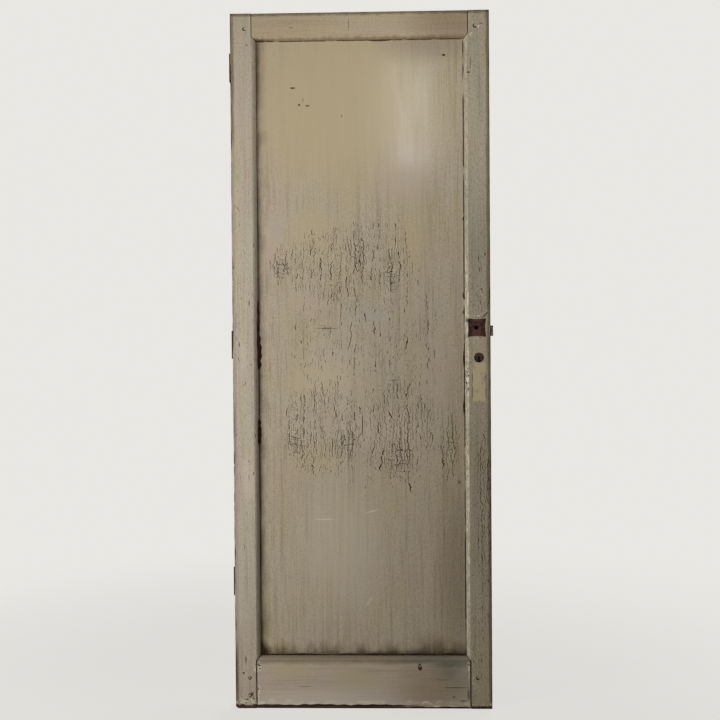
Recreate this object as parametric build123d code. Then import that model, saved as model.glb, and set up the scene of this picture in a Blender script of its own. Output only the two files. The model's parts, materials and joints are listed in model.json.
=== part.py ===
"""Old interior door leaf: a pegged frame of stiles and rails round one flat panel, hung on three
butt hinges and shut by a mortise lock. Millimetres; X runs from the hinge edge to the lock edge,
Y from the front face to the back face, Z up. The origin is the middle of the leaf's bottom edge."""

import os
from math import atan2, degrees, sqrt

from build123d import *

# Leaf and its frame of stiles and rails
leaf_width = 735.0
leaf_height = 1985.0
leaf_thickness = 40.0
stile_width = 71.5
top_rail_height = 75.5
bottom_rail_height = 148.5
arris_radius = 2.5
cut_overrun = 5.0

# Moulding stuck on the inner edges: a small quirk, a flat ovolo and a plain edge above the panel
moulding_width = 11.0
quirk_depth = 0.6
quirk_land = 1.0
ovolo_bulge = 2.0
ovolo_foot = 2.2

# Panel and its groove
panel_thickness = 10.0
panel_clearance = 0.2
panel_edge_room = 2.0
groove_depth = 9.0

# Through tenons, their pegs and the joints that have opened with age
tenon_thickness = 13.0
tenon_clearance = 0.1
shoulder_gap = 1.0
top_tenon_height = 36.0
top_tenon_drop = 26.0
bottom_tenon_height = 36.0
lower_tenon_rise = 20.0
upper_tenon_rise = 70.0
peg_radius = 5.5
peg_clearance = 0.05
peg_inset = 41.0
peg_sink = 0.4

# Butt hinges
hinge_height = 80.0
hinge_leaf_width = 34.0
hinge_leaf_thickness = 2.2
bottom_hinge_rise = 363.0
top_hinge_drop = 149.0
middle_hinge_share = 0.4623
hinge_leaf_spacing = 2.4
hinge_gain_clearance = 0.1
knuckle_radius = 5.0
knuckle_standoff = 0.5
knuckle_count = 5
knuckle_gap = 0.3
knuckle_notch_clearance = 0.4
hinge_pin_radius = 2.8
hinge_pin_clearance = 0.05
hinge_pin_head_radius = 4.0
hinge_pin_head_height = 3.0
hinge_hole_radius = 2.45
hinge_hole_pitch = 28.0
hinge_near_row = 17.0
hinge_far_row = 25.0

# Slotted wood screws, used in the hinges and the forend
screw_shank_radius = 2.2
screw_head_radius = 4.2
screw_head_depth = 1.8
screw_length = 26.0
screw_tip_length = 6.0
screw_slot_width = 0.9
screw_slot_depth = 0.9
screw_clearance = 0.05

# Mortise lock: where the spindle and the key go
spindle_backset = 40.0
spindle_rise = 1088.0
key_backset = 33.0
lock_centres = 85.0

# Lock case, cover and forend
case_depth = 56.0
case_thickness = 15.0
case_wall = 1.5
case_above_spindle = 38.0
case_below_key = 40.0
case_clearance = 0.3
forend_thickness = 3.0
forend_width = 22.0
forend_overlap = 30.0
forend_screw_inset = 9.0
forend_clearance = 0.2
rivet_radius = 2.0
cover_post_radius = 4.0
cover_post_inset = 8.0
cover_screw_radius = 1.5
cover_screw_head_radius = 2.8
cover_screw_length = 7.0
guide_post_radius = 2.5
spring_post_radius = 2.5
bolt_clearance = 0.3

# Follower, which the spindle turns
follower_hub_radius = 9.0
follower_hub_clearance = 0.05
follower_flange_radius = 11.0
follower_square = 8.2
follower_web = 2.0
follower_arm_width = 5.0
follower_arm_thickness = 5.0
follower_arm_reach = 22.0
follower_heel_reach = 15.0

# Latch bolt, which the follower draws back
latch_height = 30.0
latch_thickness = 10.0
latch_projection = 9.5
latch_travel = 9.5
latch_inner_length = 11.0
latch_drop = 24.0
latch_nose = 3.0
tail_height = 13.0
tail_thickness = 4.0
tail_drop = 30.0
tail_heel = 4.0
tail_floor = 4.5
tail_overlap = 4.0
notch_clearance = 0.3
notch_slack = 2.5
latch_guide_offset = 10.5

# Dead bolt, which the key throws
dead_bolt_thickness = 10.0
dead_bolt_rise = 12.0
dead_bolt_room = 13.0
dead_bolt_sink = 0.5
dead_bolt_throw = 12.0
dead_bolt_head_length = 22.0
dead_bolt_tail_length = 31.0
dead_bolt_guide_offset = 34.5
talon_width = 12.0
talon_depth = 6.0

# Flat springs of the lock
spring_thickness = 0.8
spring_width = 6.0
spring_gap = 0.3
latch_spring_post_inset = 8.5
bolt_spring_post_inset = 7.5
bolt_spring_post_lift = 8.0
bolt_spring_run = 28.0

# Holes in the lock stile, and the beds left bare by the lost rose and escutcheon
spindle_hole_radius = 6.5
keyhole_radius = 3.5
keyhole_slot_width = 3.6
keyhole_slot_length = 13.0
rose_bed_width = 52.0
rose_bed_height = 53.0
rose_bed_hollow = 2.5
rose_bed_shift = 1.5
rose_bed_depth = 1.0
escutcheon_bed_radius = 14.0
escutcheon_bed_depth = 1.5
plate_screw_hole_radius = 1.3
plate_screw_hole_depth = 11.0
plate_screw_backset = 32.0
plate_screw_drops = (28.0, 208.0)

# Losses of the old leaf: face veneer gone from the panel's edges, a broken lip of the moulding, knocks
# in the arrises, an empty knot, a splintered foot and a chipped corner. The tables give low and high
# ends as shares of the panel's sight height or of a half width, and a share of the widest loss.
veneer_thickness = 1.2
veneer_loss_width = 11.0
loss_overlap = 4.0
ragged_shares = (0.3, 0.9, 0.6, 1.0, 0.75, 0.95, 0.5, 0.8, 0.25)
left_loss_shares = ((0.345, 0.387, 0.8), (0.387, 0.468, 0.25), (0.468, 0.526, 1.0), (0.526, 0.581, 0.5))
right_loss_shares = (
    (0.391, 0.423, 0.45),
    (0.453, 0.464, 0.35),
    (0.481, 0.504, 0.3),
    (0.556, 0.563, 0.35),
    (0.580, 0.593, 0.5),
    (0.704, 0.716, 0.3),
)
top_loss_shares = ((0.11, 0.2, 0.25), (0.2, 0.31, 0.35))
corner_loss_width = 22.0
corner_loss_height = 38.0
lip_break_width = 3.4
lip_break_shares = ((0.345, 0.387), (0.468, 0.581))
edge_knock_radius = 9.0
edge_knock_standoff = 4.2
edge_knock_shares = (0.296, 0.335, 0.352)
knot_width = 7.0
knot_height = 13.0
knot_depth = 2.5
knot_offset = 161.5
knot_drop = 24.5
foot_loss_height = 8.0
foot_loss_depth = 1.2
foot_rag_height = 5.5
foot_rag_shares = ((-1.1, -0.62, 0.8), (-0.62, -0.12, 1.0), (-0.12, 0.41, 0.9), (0.41, 1.1, 1.0))
foot_chip_width = 7.5
foot_chip_height = 5.5

# Places worked out from the sizes above
edge_x = leaf_width / 2
face_y = leaf_thickness / 2
stile_flat = stile_width - moulding_width
top_flat = top_rail_height - moulding_width
bottom_flat = bottom_rail_height - moulding_width
shoulder_x = edge_x - stile_flat
sight_x = edge_x - stile_width
groove_half = panel_thickness / 2 + panel_clearance
top_edge_z = leaf_height - top_flat
peg_x = edge_x - peg_inset
sight_low = bottom_rail_height
sight_high = leaf_height - top_rail_height

top_tenons = [(leaf_height - top_tenon_drop - top_tenon_height, leaf_height - top_tenon_drop)]
bottom_tenons = [(rise, rise + bottom_tenon_height) for rise in (lower_tenon_rise, upper_tenon_rise)]
tenons = top_tenons + bottom_tenons

top_hinge_rise = leaf_height - top_hinge_drop
hinge_rises = {
    "bottom": bottom_hinge_rise,
    "middle": bottom_hinge_rise + middle_hinge_share * (top_hinge_rise - bottom_hinge_rise),
    "top": top_hinge_rise,
}
pin_x = -edge_x - hinge_leaf_spacing / 2
pin_y = face_y + knuckle_standoff + knuckle_radius
knuckle_length = (hinge_height - knuckle_gap * (knuckle_count - 1)) / knuckle_count

key_rise = spindle_rise - lock_centres
forend_back_x = edge_x - forend_thickness
case_back_x = forend_back_x - case_depth
case_front_inner_x = forend_back_x - case_wall
case_back_inner_x = case_back_x + case_wall
case_bottom = key_rise - case_below_key
case_top = spindle_rise + case_above_spindle
case_half = case_thickness / 2
case_inner_half = case_half - case_wall
forend_bottom = case_bottom - forend_overlap
forend_top = case_top + forend_overlap
spindle_x = edge_x - spindle_backset
key_x = edge_x - key_backset

latch_bottom = spindle_rise - latch_drop
latch_top = latch_bottom + latch_height
tail_bottom = spindle_rise - tail_drop
tail_top = tail_bottom + tail_height
latch_guide = (spindle_x + latch_guide_offset, tail_bottom + tail_height / 2)
dead_bolt_bottom = key_rise + dead_bolt_rise
dead_bolt_top = tail_bottom - dead_bolt_room
dead_bolt_guide = (edge_x - dead_bolt_guide_offset, (dead_bolt_bottom + dead_bolt_top) / 2)
latch_spring_post = (
    case_front_inner_x - latch_spring_post_inset + case_wall,
    case_top - case_wall - latch_spring_post_inset,
)
bolt_spring_post = (case_back_inner_x + bolt_spring_post_inset, dead_bolt_top + bolt_spring_post_lift)
cover_posts = [
    (case_back_x + cover_post_inset, case_top - cover_post_inset),
    (case_back_x + cover_post_inset, case_bottom + cover_post_inset),
    (forend_back_x - cover_post_inset, case_bottom + cover_post_inset),
]
rivet_rises = [
    (case_bottom + dead_bolt_bottom) / 2,
    (dead_bolt_top + latch_bottom) / 2,
    (latch_top + case_top) / 2,
]
forend_screw_rises = [forend_bottom + forend_screw_inset, forend_top - forend_screw_inset]


LOW = (Align.CENTER, Align.CENTER, Align.MIN)


def block(x_span, y_span, z_span):
    """Box between three pairs of planes."""
    size = [high - low for low, high in (x_span, y_span, z_span)]
    low_corner = Pos(x_span[0], y_span[0], z_span[0])
    return low_corner * Box(*size, align=(Align.MIN, Align.MIN, Align.MIN))


def rod_x(radius, x_span, y, z):
    """Round bar along X."""
    length = x_span[1] - x_span[0]
    rod = Cylinder(radius, length, align=LOW)
    return Pos(x_span[0], y, z) * Rot(0, 90, 0) * rod


def rod_y(radius, x, y_span, z):
    """Round bar along Y."""
    length = y_span[1] - y_span[0]
    rod = Cylinder(radius, length, align=LOW)
    return Pos(x, y_span[0], z) * Rot(-90, 0, 0) * rod


def rod_z(radius, x, y, z_span):
    """Round bar along Z."""
    length = z_span[1] - z_span[0]
    rod = Cylinder(radius, length, align=LOW)
    return Pos(x, y, z_span[0]) * rod


def upright_plate(points, y_span):
    """Plate with a straight-sided outline in X and Z, between two planes of Y."""
    plane = Plane(origin=(0, y_span[0], 0), x_dir=(1, 0, 0), z_dir=(0, -1, 0))
    outline = Polyline(*points, close=True)
    return extrude(plane * make_face(outline), amount=-(y_span[1] - y_span[0]))


def through_thickness():
    """Span of Y that passes both faces of the leaf."""
    return (-face_y - cut_overrun, face_y + cut_overrun)


def both_sides(half):
    """Span that reaches the same distance either side of zero."""
    return (-half, half)


def moulded_section(flat_width):
    """Section of a stile or rail: local X runs towards the panel from the edge of its flat."""
    land_y = face_y - quirk_depth
    ovolo_end_y = groove_half + ovolo_foot
    groove_x = moulding_width - groove_depth
    with BuildSketch() as section:
        with BuildLine():
            Polyline(
                (groove_x, 0),
                (-flat_width, 0),
                (-flat_width, face_y),
                (0, face_y),
                (0, land_y),
                (quirk_land, land_y),
            )
            SagittaArc((quirk_land, land_y), (moulding_width, ovolo_end_y), ovolo_bulge)
            Polyline(
                (moulding_width, ovolo_end_y),
                (moulding_width, groove_half),
                (groove_x, groove_half),
                (groove_x, 0),
            )
        make_face()
        mirror(about=Plane.XZ)
        fillet(section.vertices().group_by(Axis.X)[0], arris_radius)
    return section.sketch


def mitre_wedge(z_flat, z_end):
    """What a hinge stile loses where a rail meets it: its moulding past the mitre."""
    up = 1 if z_end > z_flat else -1
    reach = moulding_width + cut_overrun
    inner = -shoulder_x + reach
    points = [
        (-shoulder_x, z_flat),
        (inner, z_flat - up * reach),
        (inner, z_end + up * cut_overrun),
        (-shoulder_x, z_end + up * cut_overrun),
    ]
    return upright_plate(points, through_thickness())


def mortises():
    """Slots for the through tenons and holes for their pegs, in the hinge stile."""
    half = tenon_thickness / 2 + tenon_clearance
    x_span = (-edge_x - cut_overrun, -shoulder_x + cut_overrun)
    cuts = []
    for low, high in tenons:
        cuts.append(block(x_span, both_sides(half), (low - tenon_clearance, high + tenon_clearance)))
        cuts.append(rod_y(peg_radius + peg_clearance, -peg_x, through_thickness(), (low + high) / 2))
    return cuts


def plain_stile():
    """Stile on the hinge side before hinges: moulded, mitred and mortised."""
    section = Pos(-shoulder_x, 0, 0) * moulded_section(stile_flat)
    stile = extrude(section, amount=leaf_height)
    for cut in [mitre_wedge(top_edge_z, leaf_height), mitre_wedge(bottom_flat, 0), *mortises()]:
        stile -= cut
    return stile


def rail(flat_width, flat_z, towards_panel, rail_tenons):
    """Rail with mitred moulding and a through tenon at each end."""
    end_x = shoulder_x - shoulder_gap
    plane = Plane(origin=(-end_x, 0, flat_z), x_dir=(0, 0, towards_panel), z_dir=(1, 0, 0))
    body = extrude(plane * moulded_section(flat_width), amount=2 * end_x)
    reach = moulding_width + cut_overrun
    for side in (-1, 1):
        corner = side * end_x
        wedge = [
            (corner, flat_z),
            (corner - side * reach, flat_z + towards_panel * reach),
            (corner + side * cut_overrun, flat_z + towards_panel * reach),
            (corner + side * cut_overrun, flat_z),
        ]
        body -= upright_plate(wedge, through_thickness())
        for low, high in rail_tenons:
            span = sorted((side * (end_x - cut_overrun), side * edge_x))
            body += block(span, both_sides(tenon_thickness / 2), (low, high))
            middle = (low + high) / 2
            body -= rod_y(peg_radius + peg_clearance, side * peg_x, through_thickness(), middle)
    return body


def ragged_strip(low, high, edge, depth):
    """Outline of a strip lost along an edge, straight past the edge and ragged on its other side.

    Points are across the edge first, then along it; depth is signed."""
    last = len(ragged_shares) - 1
    ragged = [
        (edge + depth * share, low + (high - low) * index / last)
        for index, share in enumerate(ragged_shares)
    ]
    back = edge - loss_overlap if depth > 0 else edge + loss_overlap
    return [(back, low), *ragged, (back, high)]


def sight_rise(share):
    """Height of a share of the panel's sight height."""
    return sight_low + share * (sight_high - sight_low)


def veneer_losses():
    """Outlines in X and Z where the panel has lost its face veneer."""
    outlines = []
    for side, table in ((-1, left_loss_shares), (1, right_loss_shares)):
        for low, high, share in table:
            depth = -side * share * veneer_loss_width
            outlines.append(ragged_strip(sight_rise(low), sight_rise(high), side * sight_x, depth))
    for low, high, share in top_loss_shares:
        depth = -share * veneer_loss_width
        strip = ragged_strip(low * sight_x, high * sight_x, sight_high, depth)
        outlines.append([(x, z) for z, x in strip])
    corner_x, corner_z = -sight_x - loss_overlap, sight_low - loss_overlap
    corner = [
        (corner_x, corner_z),
        (-sight_x + corner_loss_width, corner_z),
        (-sight_x + corner_loss_width, sight_low),
        (-sight_x, sight_low + corner_loss_height),
        (corner_x, sight_low + corner_loss_height),
    ]
    return [*outlines, corner]


def flat_panel():
    """Flat panel, standing in the grooves with room to swell at its sides and top."""
    half_width = sight_x + groove_depth - panel_edge_room
    low = bottom_rail_height - groove_depth
    high = leaf_height - top_rail_height + groove_depth - 2 * panel_edge_room
    panel = block(both_sides(half_width), both_sides(panel_thickness / 2), (low, high))
    front = -panel_thickness / 2
    for outline in veneer_losses():
        panel -= upright_plate(outline, (front - cut_overrun, front + veneer_thickness))
    return panel


def bottom_rail():
    """Bottom rail with its front splintered along the foot and the hole of a lost knot."""
    body = rail(bottom_flat, bottom_flat, 1, bottom_tenons)
    splinter_y = (-face_y - cut_overrun, -face_y + foot_loss_depth)
    body -= block(both_sides(edge_x), splinter_y, (-cut_overrun, foot_loss_height))
    for low, high, share in foot_rag_shares:
        depth = share * foot_rag_height
        strip = ragged_strip(low * shoulder_x, high * shoulder_x, foot_loss_height, depth)
        body -= upright_plate([(x, z) for z, x in strip], splinter_y)
    front = Plane(
        origin=(knot_offset, -face_y, sight_low - knot_drop), x_dir=(1, 0, 0), z_dir=(0, -1, 0)
    )
    return body - extrude(front * Ellipse(knot_width / 2, knot_height / 2), amount=knot_depth, both=True)


def pegs():
    """Wooden pegs through the tenons, shrunk a little below both faces."""
    span = both_sides(face_y - peg_sink)
    places = [(side * peg_x, (low + high) / 2) for side in (-1, 1) for low, high in tenons]
    return [rod_y(peg_radius, x, span, z) for x, z in places]


def wood_screw():
    """Slotted countersunk screw: its head's face is at zero and it points along +Z."""
    head = Cone(screw_head_radius, screw_shank_radius, screw_head_depth, align=LOW)
    shank_length = screw_length - screw_head_depth - screw_tip_length
    shank = Pos(0, 0, screw_head_depth) * Cylinder(screw_shank_radius, shank_length, align=LOW)
    point = screw_tip_length / screw_length * screw_shank_radius
    tip = Cone(screw_shank_radius, point, screw_tip_length, align=LOW)
    tip = Pos(0, 0, screw_length - screw_tip_length) * tip
    slot = Box(2 * screw_head_radius, screw_slot_width, 2 * screw_slot_depth)
    return head + shank + tip - slot


def screw_seat(hole_radius, depth):
    """Cut for a countersunk screw, pointing along +Z from its mouth at zero."""
    mouth = screw_head_radius + screw_clearance
    neck = min(hole_radius, mouth)
    cone_depth = screw_head_depth * (mouth - neck) / (screw_head_radius - screw_shank_radius)
    cone = Cone(mouth, neck, cone_depth, align=LOW)
    above = Pos(0, 0, -cut_overrun) * Cylinder(mouth, cut_overrun, align=LOW)
    return cone + above + Cylinder(hole_radius, depth, align=LOW)


def hinge_hole_places(rise, outer_row, middle_row):
    """Y and Z of a hinge leaf's three holes, measured in rows from the pin."""
    return [
        (pin_y - outer_row, rise - hinge_hole_pitch),
        (pin_y - middle_row, rise),
        (pin_y - outer_row, rise + hinge_hole_pitch),
    ]


def knuckle_spans(rise, first):
    """Heights of every other knuckle of a hinge, from the given one up."""
    low = rise - hinge_height / 2
    pitch = knuckle_length + knuckle_gap
    starts = [low + index * pitch for index in range(first, knuckle_count, 2)]
    return [(start, start + knuckle_length) for start in starts]


def hinge_leaf(rise, side, own_first, outer_row, middle_row):
    """One leaf of a butt hinge with its knuckles; side is 1 at the door and -1 at the frame."""
    near = pin_x + side * hinge_leaf_spacing / 2
    far = near + side * hinge_leaf_thickness
    z_span = (rise - hinge_height / 2, rise + hinge_height / 2)
    leaf = block(sorted((near, far)), (pin_y - hinge_leaf_width, pin_y), z_span)
    for low, high in knuckle_spans(rise, 1 - own_first):
        room = (low - knuckle_gap, high + knuckle_gap)
        leaf -= rod_z(knuckle_radius + knuckle_notch_clearance, pin_x, pin_y, room)
    for span in knuckle_spans(rise, own_first):
        leaf += rod_z(knuckle_radius, pin_x, pin_y, span)
    bore = (z_span[0] - cut_overrun, z_span[1] + cut_overrun)
    leaf -= rod_z(hinge_pin_radius + hinge_pin_clearance, pin_x, pin_y, bore)
    seat = screw_seat(hinge_hole_radius, hinge_leaf_thickness + cut_overrun)
    for y, z in hinge_hole_places(rise, outer_row, middle_row):
        leaf -= Pos(near, y, z) * Rot(0, side * 90, 0) * seat
    return leaf


def hinge_pin(rise):
    """Hinge pin with a button head that sits on the top knuckle."""
    low, high = rise - hinge_height / 2, rise + hinge_height / 2
    head = rod_z(hinge_pin_head_radius, pin_x, pin_y, (high, high + hinge_pin_head_height))
    head = fillet(head.edges().group_by(Axis.Z)[-1], hinge_pin_head_height / 2)
    return rod_z(hinge_pin_radius, pin_x, pin_y, (low, high)) + head


def hinge_stile():
    """Left stile: gains for the hinge leaves, pilot holes for their screws, broken lip and knocks."""
    stile = plain_stile()
    gain_x = (-edge_x - cut_overrun, -edge_x + hinge_leaf_thickness)
    gain_y = (pin_y - hinge_leaf_width - hinge_gain_clearance, face_y + cut_overrun)
    half = hinge_height / 2 + hinge_gain_clearance
    pilot_x = (-edge_x, -edge_x + screw_length)
    for rise in hinge_rises.values():
        stile -= block(gain_x, gain_y, (rise - half, rise + half))
        for y, z in hinge_hole_places(rise, hinge_near_row, hinge_far_row):
            stile -= rod_x(screw_shank_radius + screw_clearance, pilot_x, y, z)
    for low, high in lip_break_shares:
        lip = ragged_strip(sight_rise(low), sight_rise(high), -sight_x, -lip_break_width)
        stile -= upright_plate(lip, (-face_y - cut_overrun, 0))
    knock_x, knock_y = -edge_x - edge_knock_standoff, -face_y - edge_knock_standoff
    for share in edge_knock_shares:
        stile -= Pos(knock_x, knock_y, share * leaf_height) * Sphere(edge_knock_radius)
    outside, chip_x = -edge_x - cut_overrun, -edge_x + foot_chip_width
    chip = [
        (outside, -cut_overrun),
        (chip_x, -cut_overrun),
        (chip_x, 0),
        (-edge_x, foot_chip_height),
        (outside, foot_chip_height),
    ]
    return stile - upright_plate(chip, through_thickness())


def hinge_screws():
    """Screws that hold the hinge leaves to the stile."""
    places = [
        place
        for rise in hinge_rises.values()
        for place in hinge_hole_places(rise, hinge_near_row, hinge_far_row)
    ]
    return [Pos(-edge_x, y, z) * Rot(0, 90, 0) * wood_screw() for y, z in places]


def keyhole(y_span, room=0):
    """Cut for the key: a round eye with a slot below it."""
    slot_half = keyhole_slot_width / 2 + room
    low = key_rise - keyhole_slot_length - room
    slot = block((key_x - slot_half, key_x + slot_half), y_span, (low, key_rise))
    return rod_y(keyhole_radius + room, key_x, y_span, key_rise) + slot


def rose_bed():
    """Shallow bare bed of the lost rose: a square with slightly hollow sides."""
    half_w, half_h = rose_bed_width / 2, rose_bed_height / 2
    corners = [(-half_w, -half_h), (half_w, -half_h), (half_w, half_h), (-half_w, half_h)]
    waists = [
        (0, -half_h + rose_bed_hollow),
        (half_w - rose_bed_hollow, 0),
        (0, half_h - rose_bed_hollow),
        (-half_w + rose_bed_hollow, 0),
    ]
    with BuildSketch() as bed:
        with BuildLine():
            for index, waist in enumerate(waists):
                ThreePointArc(corners[index], waist, corners[(index + 1) % len(corners)])
        make_face()
    centre = (spindle_x + rose_bed_shift, -face_y, spindle_rise)
    front = Plane(origin=centre, x_dir=(1, 0, 0), z_dir=(0, -1, 0))
    return extrude(front * bed.sketch, amount=rose_bed_depth, both=True)


def lock_stile():
    """Right stile: lock mortise, forend bed, spindle hole, keyhole in the front, the lost fittings' beds
    and the arris worn beside the latch."""
    stile = plain_stile().mirror(Plane.YZ)
    half = case_half + case_clearance
    low, high = case_bottom - case_clearance, case_top + case_clearance
    outside = edge_x + cut_overrun
    stile -= block((case_back_x - case_clearance, outside), both_sides(half), (low, high))
    bed_half = forend_width / 2 + forend_clearance
    bed_z = (forend_bottom - forend_clearance, forend_top + forend_clearance)
    stile -= block((forend_back_x, outside), both_sides(bed_half), bed_z)
    stile -= rod_y(spindle_hole_radius, spindle_x, through_thickness(), spindle_rise)
    stile -= keyhole((-face_y - cut_overrun, 0))
    stile -= rose_bed()
    bed = (-face_y - cut_overrun, -face_y + escutcheon_bed_depth)
    stile -= rod_y(escutcheon_bed_radius, key_x, bed, key_rise)
    hole = (-face_y - cut_overrun, -face_y + plate_screw_hole_depth)
    for drop in plate_screw_drops:
        stile -= rod_y(plate_screw_hole_radius, edge_x - plate_screw_backset, hole, spindle_rise - drop)
    pilot_x = (edge_x - screw_length, edge_x)
    for rise in forend_screw_rises:
        stile -= rod_x(screw_shank_radius + screw_clearance, pilot_x, 0, rise)
    wear_x, wear_y = edge_x + edge_knock_standoff, -face_y - edge_knock_standoff
    return stile - rod_z(edge_knock_radius, wear_x, wear_y, (latch_bottom, latch_top))


def bolt_openings():
    """Openings for the latch bolt and the dead bolt through the forend and the case's front wall."""
    x_span = (case_front_inner_x - cut_overrun, edge_x + cut_overrun)
    sizes = [
        (latch_thickness, latch_bottom, latch_top),
        (dead_bolt_thickness, dead_bolt_bottom, dead_bolt_top),
    ]
    return [
        block(
            x_span,
            both_sides(thickness / 2 + bolt_clearance),
            (low - bolt_clearance, high + bolt_clearance),
        )
        for thickness, low, high in sizes
    ]


def forend_rivets():
    """Rivets that hold the case to the forend, finished flush."""
    return [rod_x(rivet_radius, (case_front_inner_x, edge_x), 0, rise) for rise in rivet_rises]


def forend():
    """Forend plate, let in flush with the stile's edge."""
    plate = block((forend_back_x, edge_x), both_sides(forend_width / 2), (forend_bottom, forend_top))
    for cut in bolt_openings() + forend_rivets():
        plate -= cut
    seat = screw_seat(screw_shank_radius + screw_clearance, forend_thickness + cut_overrun)
    for rise in forend_screw_rises:
        plate -= Pos(edge_x, 0, rise) * Rot(0, -90, 0) * seat
    return plate


def forend_screws():
    """Two wood screws that hold the lock in the stile."""
    return [Pos(edge_x, 0, rise) * Rot(0, -90, 0) * wood_screw() for rise in forend_screw_rises]


def lock_case():
    """Open steel box with its riveted posts; the cover closes the side towards the front face."""
    y_span = (-case_inner_half, case_half)
    case = block((case_back_x, forend_back_x), y_span, (case_bottom, case_top))
    hollow_y = (-case_inner_half - cut_overrun, case_inner_half)
    hollow_z = (case_bottom + case_wall, case_top - case_wall)
    case -= block((case_back_inner_x, case_front_inner_x), hollow_y, hollow_z)
    posts = [(place, guide_post_radius) for place in (latch_guide, dead_bolt_guide)]
    posts += [(place, spring_post_radius) for place in (latch_spring_post, bolt_spring_post)]
    posts += [(place, cover_post_radius) for place in cover_posts]
    for (x, z), radius in posts:
        case += rod_y(radius, x, (-case_inner_half, case_half), z)
    through = (-case_half, case_half + cut_overrun)
    case -= rod_y(follower_hub_radius + follower_hub_clearance, spindle_x, through, spindle_rise)
    case -= keyhole(through)
    for cut in bolt_openings() + forend_rivets() + cover_screws(screw_clearance):
        case -= cut
    return case


def cover_screws(room=0):
    """Small screws that hold the cover to its posts, heads flush with the cover."""
    screws = []
    for x, z in cover_posts:
        head = Cone(
            cover_screw_head_radius + room, cover_screw_radius + room, case_wall, align=LOW
        )
        shank = Cylinder(cover_screw_radius + room, cover_screw_length + room, align=LOW)
        screws.append(Pos(x, -case_half, z) * Rot(-90, 0, 0) * (head + shank))
    return screws


def lock_cover():
    """Cover plate of the lock case."""
    plate_y = (-case_half, -case_inner_half)
    through = (-case_half - cut_overrun, 0)
    cover = block((case_back_x, forend_back_x), plate_y, (case_bottom, case_top))
    cover -= rod_y(follower_hub_radius + follower_hub_clearance, spindle_x, through, spindle_rise)
    cover -= keyhole(through)
    for cut in cover_screws(screw_clearance):
        cover -= cut
    return cover


def follower_arm(reach, direction):
    """Arm of the follower with a round tip."""
    half = follower_arm_width / 2
    y_span = both_sides(follower_arm_thickness / 2)
    tip_z = spindle_rise + direction * reach
    arm = block((spindle_x - half, spindle_x + half), y_span, sorted((spindle_rise, tip_z)))
    return arm + rod_y(half, spindle_x, y_span, tip_z)


def follower():
    """Follower: hub in the case's plates, flange between them, arm and heel, and a square socket in each
    end for a half spindle, with a web between the two."""
    hub = rod_y(follower_hub_radius, spindle_x, both_sides(case_half), spindle_rise)
    flange_y = both_sides(case_inner_half - bolt_clearance)
    body = hub + rod_y(follower_flange_radius, spindle_x, flange_y, spindle_rise)
    body += follower_arm(follower_arm_reach, -1) + follower_arm(follower_heel_reach, 1)
    half = follower_square / 2
    square_z = (spindle_rise - half, spindle_rise + half)
    outside, web = case_half + cut_overrun, follower_web / 2
    for socket_y in ((-outside, -web), (web, outside)):
        body -= block((spindle_x - half, spindle_x + half), socket_y, square_z)
    return body


def slot_along_x(centre, x_reach, y_span):
    """Cut for a guide post, longer on one side by the bolt's travel."""
    x, z = centre
    half = guide_post_radius + bolt_clearance
    low, high = sorted((x, x + x_reach))
    ends = rod_y(half, low, y_span, z) + rod_y(half, high, y_span, z)
    return ends + block((low, high), y_span, (z - half, z + half))


def latch_bolt():
    """Latch bolt: bevelled head, and a tail notched for the follower's arm."""
    back_x = case_front_inner_x - latch_inner_length
    nose_x = edge_x + latch_projection
    half = latch_thickness / 2
    plane = Plane(origin=(0, 0, latch_bottom), x_dir=(1, 0, 0), z_dir=(0, 0, 1))
    outline = Polyline(
        (back_x, -half),
        (nose_x - latch_thickness + latch_nose, -half),
        (nose_x, half - latch_nose),
        (nose_x, half),
        (back_x, half),
        close=True,
    )
    head = extrude(plane * make_face(outline), amount=latch_height)
    arm_half = follower_arm_width / 2
    notch = (spindle_x - arm_half - notch_clearance, spindle_x + arm_half + notch_slack)
    tail_y = both_sides(tail_thickness / 2)
    tail = block((notch[0] - tail_heel, back_x + tail_overlap), tail_y, (tail_bottom, tail_top))
    tail -= block(notch, through_thickness(), (tail_bottom + tail_floor, tail_top + cut_overrun))
    tail -= slot_along_x(latch_guide, latch_travel, through_thickness())
    return head + tail


def dead_bolt():
    """Dead bolt: square head, and a tail with the key's talon in its lower edge."""
    front_x = edge_x - dead_bolt_sink
    back_x = front_x - dead_bolt_head_length
    z_span = (dead_bolt_bottom, dead_bolt_top)
    head = block((back_x, front_x), both_sides(dead_bolt_thickness / 2), z_span)
    tail_y = both_sides(tail_thickness / 2)
    tail = block((back_x - dead_bolt_tail_length, back_x + tail_overlap), tail_y, z_span)
    half = talon_width / 2
    talon_z = (dead_bolt_bottom - cut_overrun, dead_bolt_bottom + talon_depth)
    bolt = head + tail
    bolt -= block((key_x - half, key_x + half), through_thickness(), talon_z)
    return bolt - slot_along_x(dead_bolt_guide, -dead_bolt_throw, through_thickness())


def flat_spring(post, tip):
    """Flat spring with an eye round its post and a straight arm to its tip, in X and Z."""
    y_span = both_sides(spring_width / 2)
    inner = spring_post_radius
    outer = inner + spring_thickness
    middle = (inner + outer) / 2
    reach = Vector(tip[0] - post[0], tip[1] - post[1])
    length = sqrt(reach.length**2 - middle**2)
    run = reach.rotate(Axis.Z, -degrees(atan2(middle, length)))
    arm_plane = Plane(
        origin=(post[0], y_span[0], post[1]), x_dir=(run.X, 0, run.Y), z_dir=(0, -1, 0)
    )
    arm = Pos(0, inner, 0) * Rectangle(length, spring_thickness, align=(Align.MIN, Align.MIN))
    arm = extrude(arm_plane * arm, amount=-spring_width)
    eye = rod_y(outer, post[0], y_span, post[1])
    return eye + arm - rod_y(inner, post[0], through_thickness(), post[1])


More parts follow.
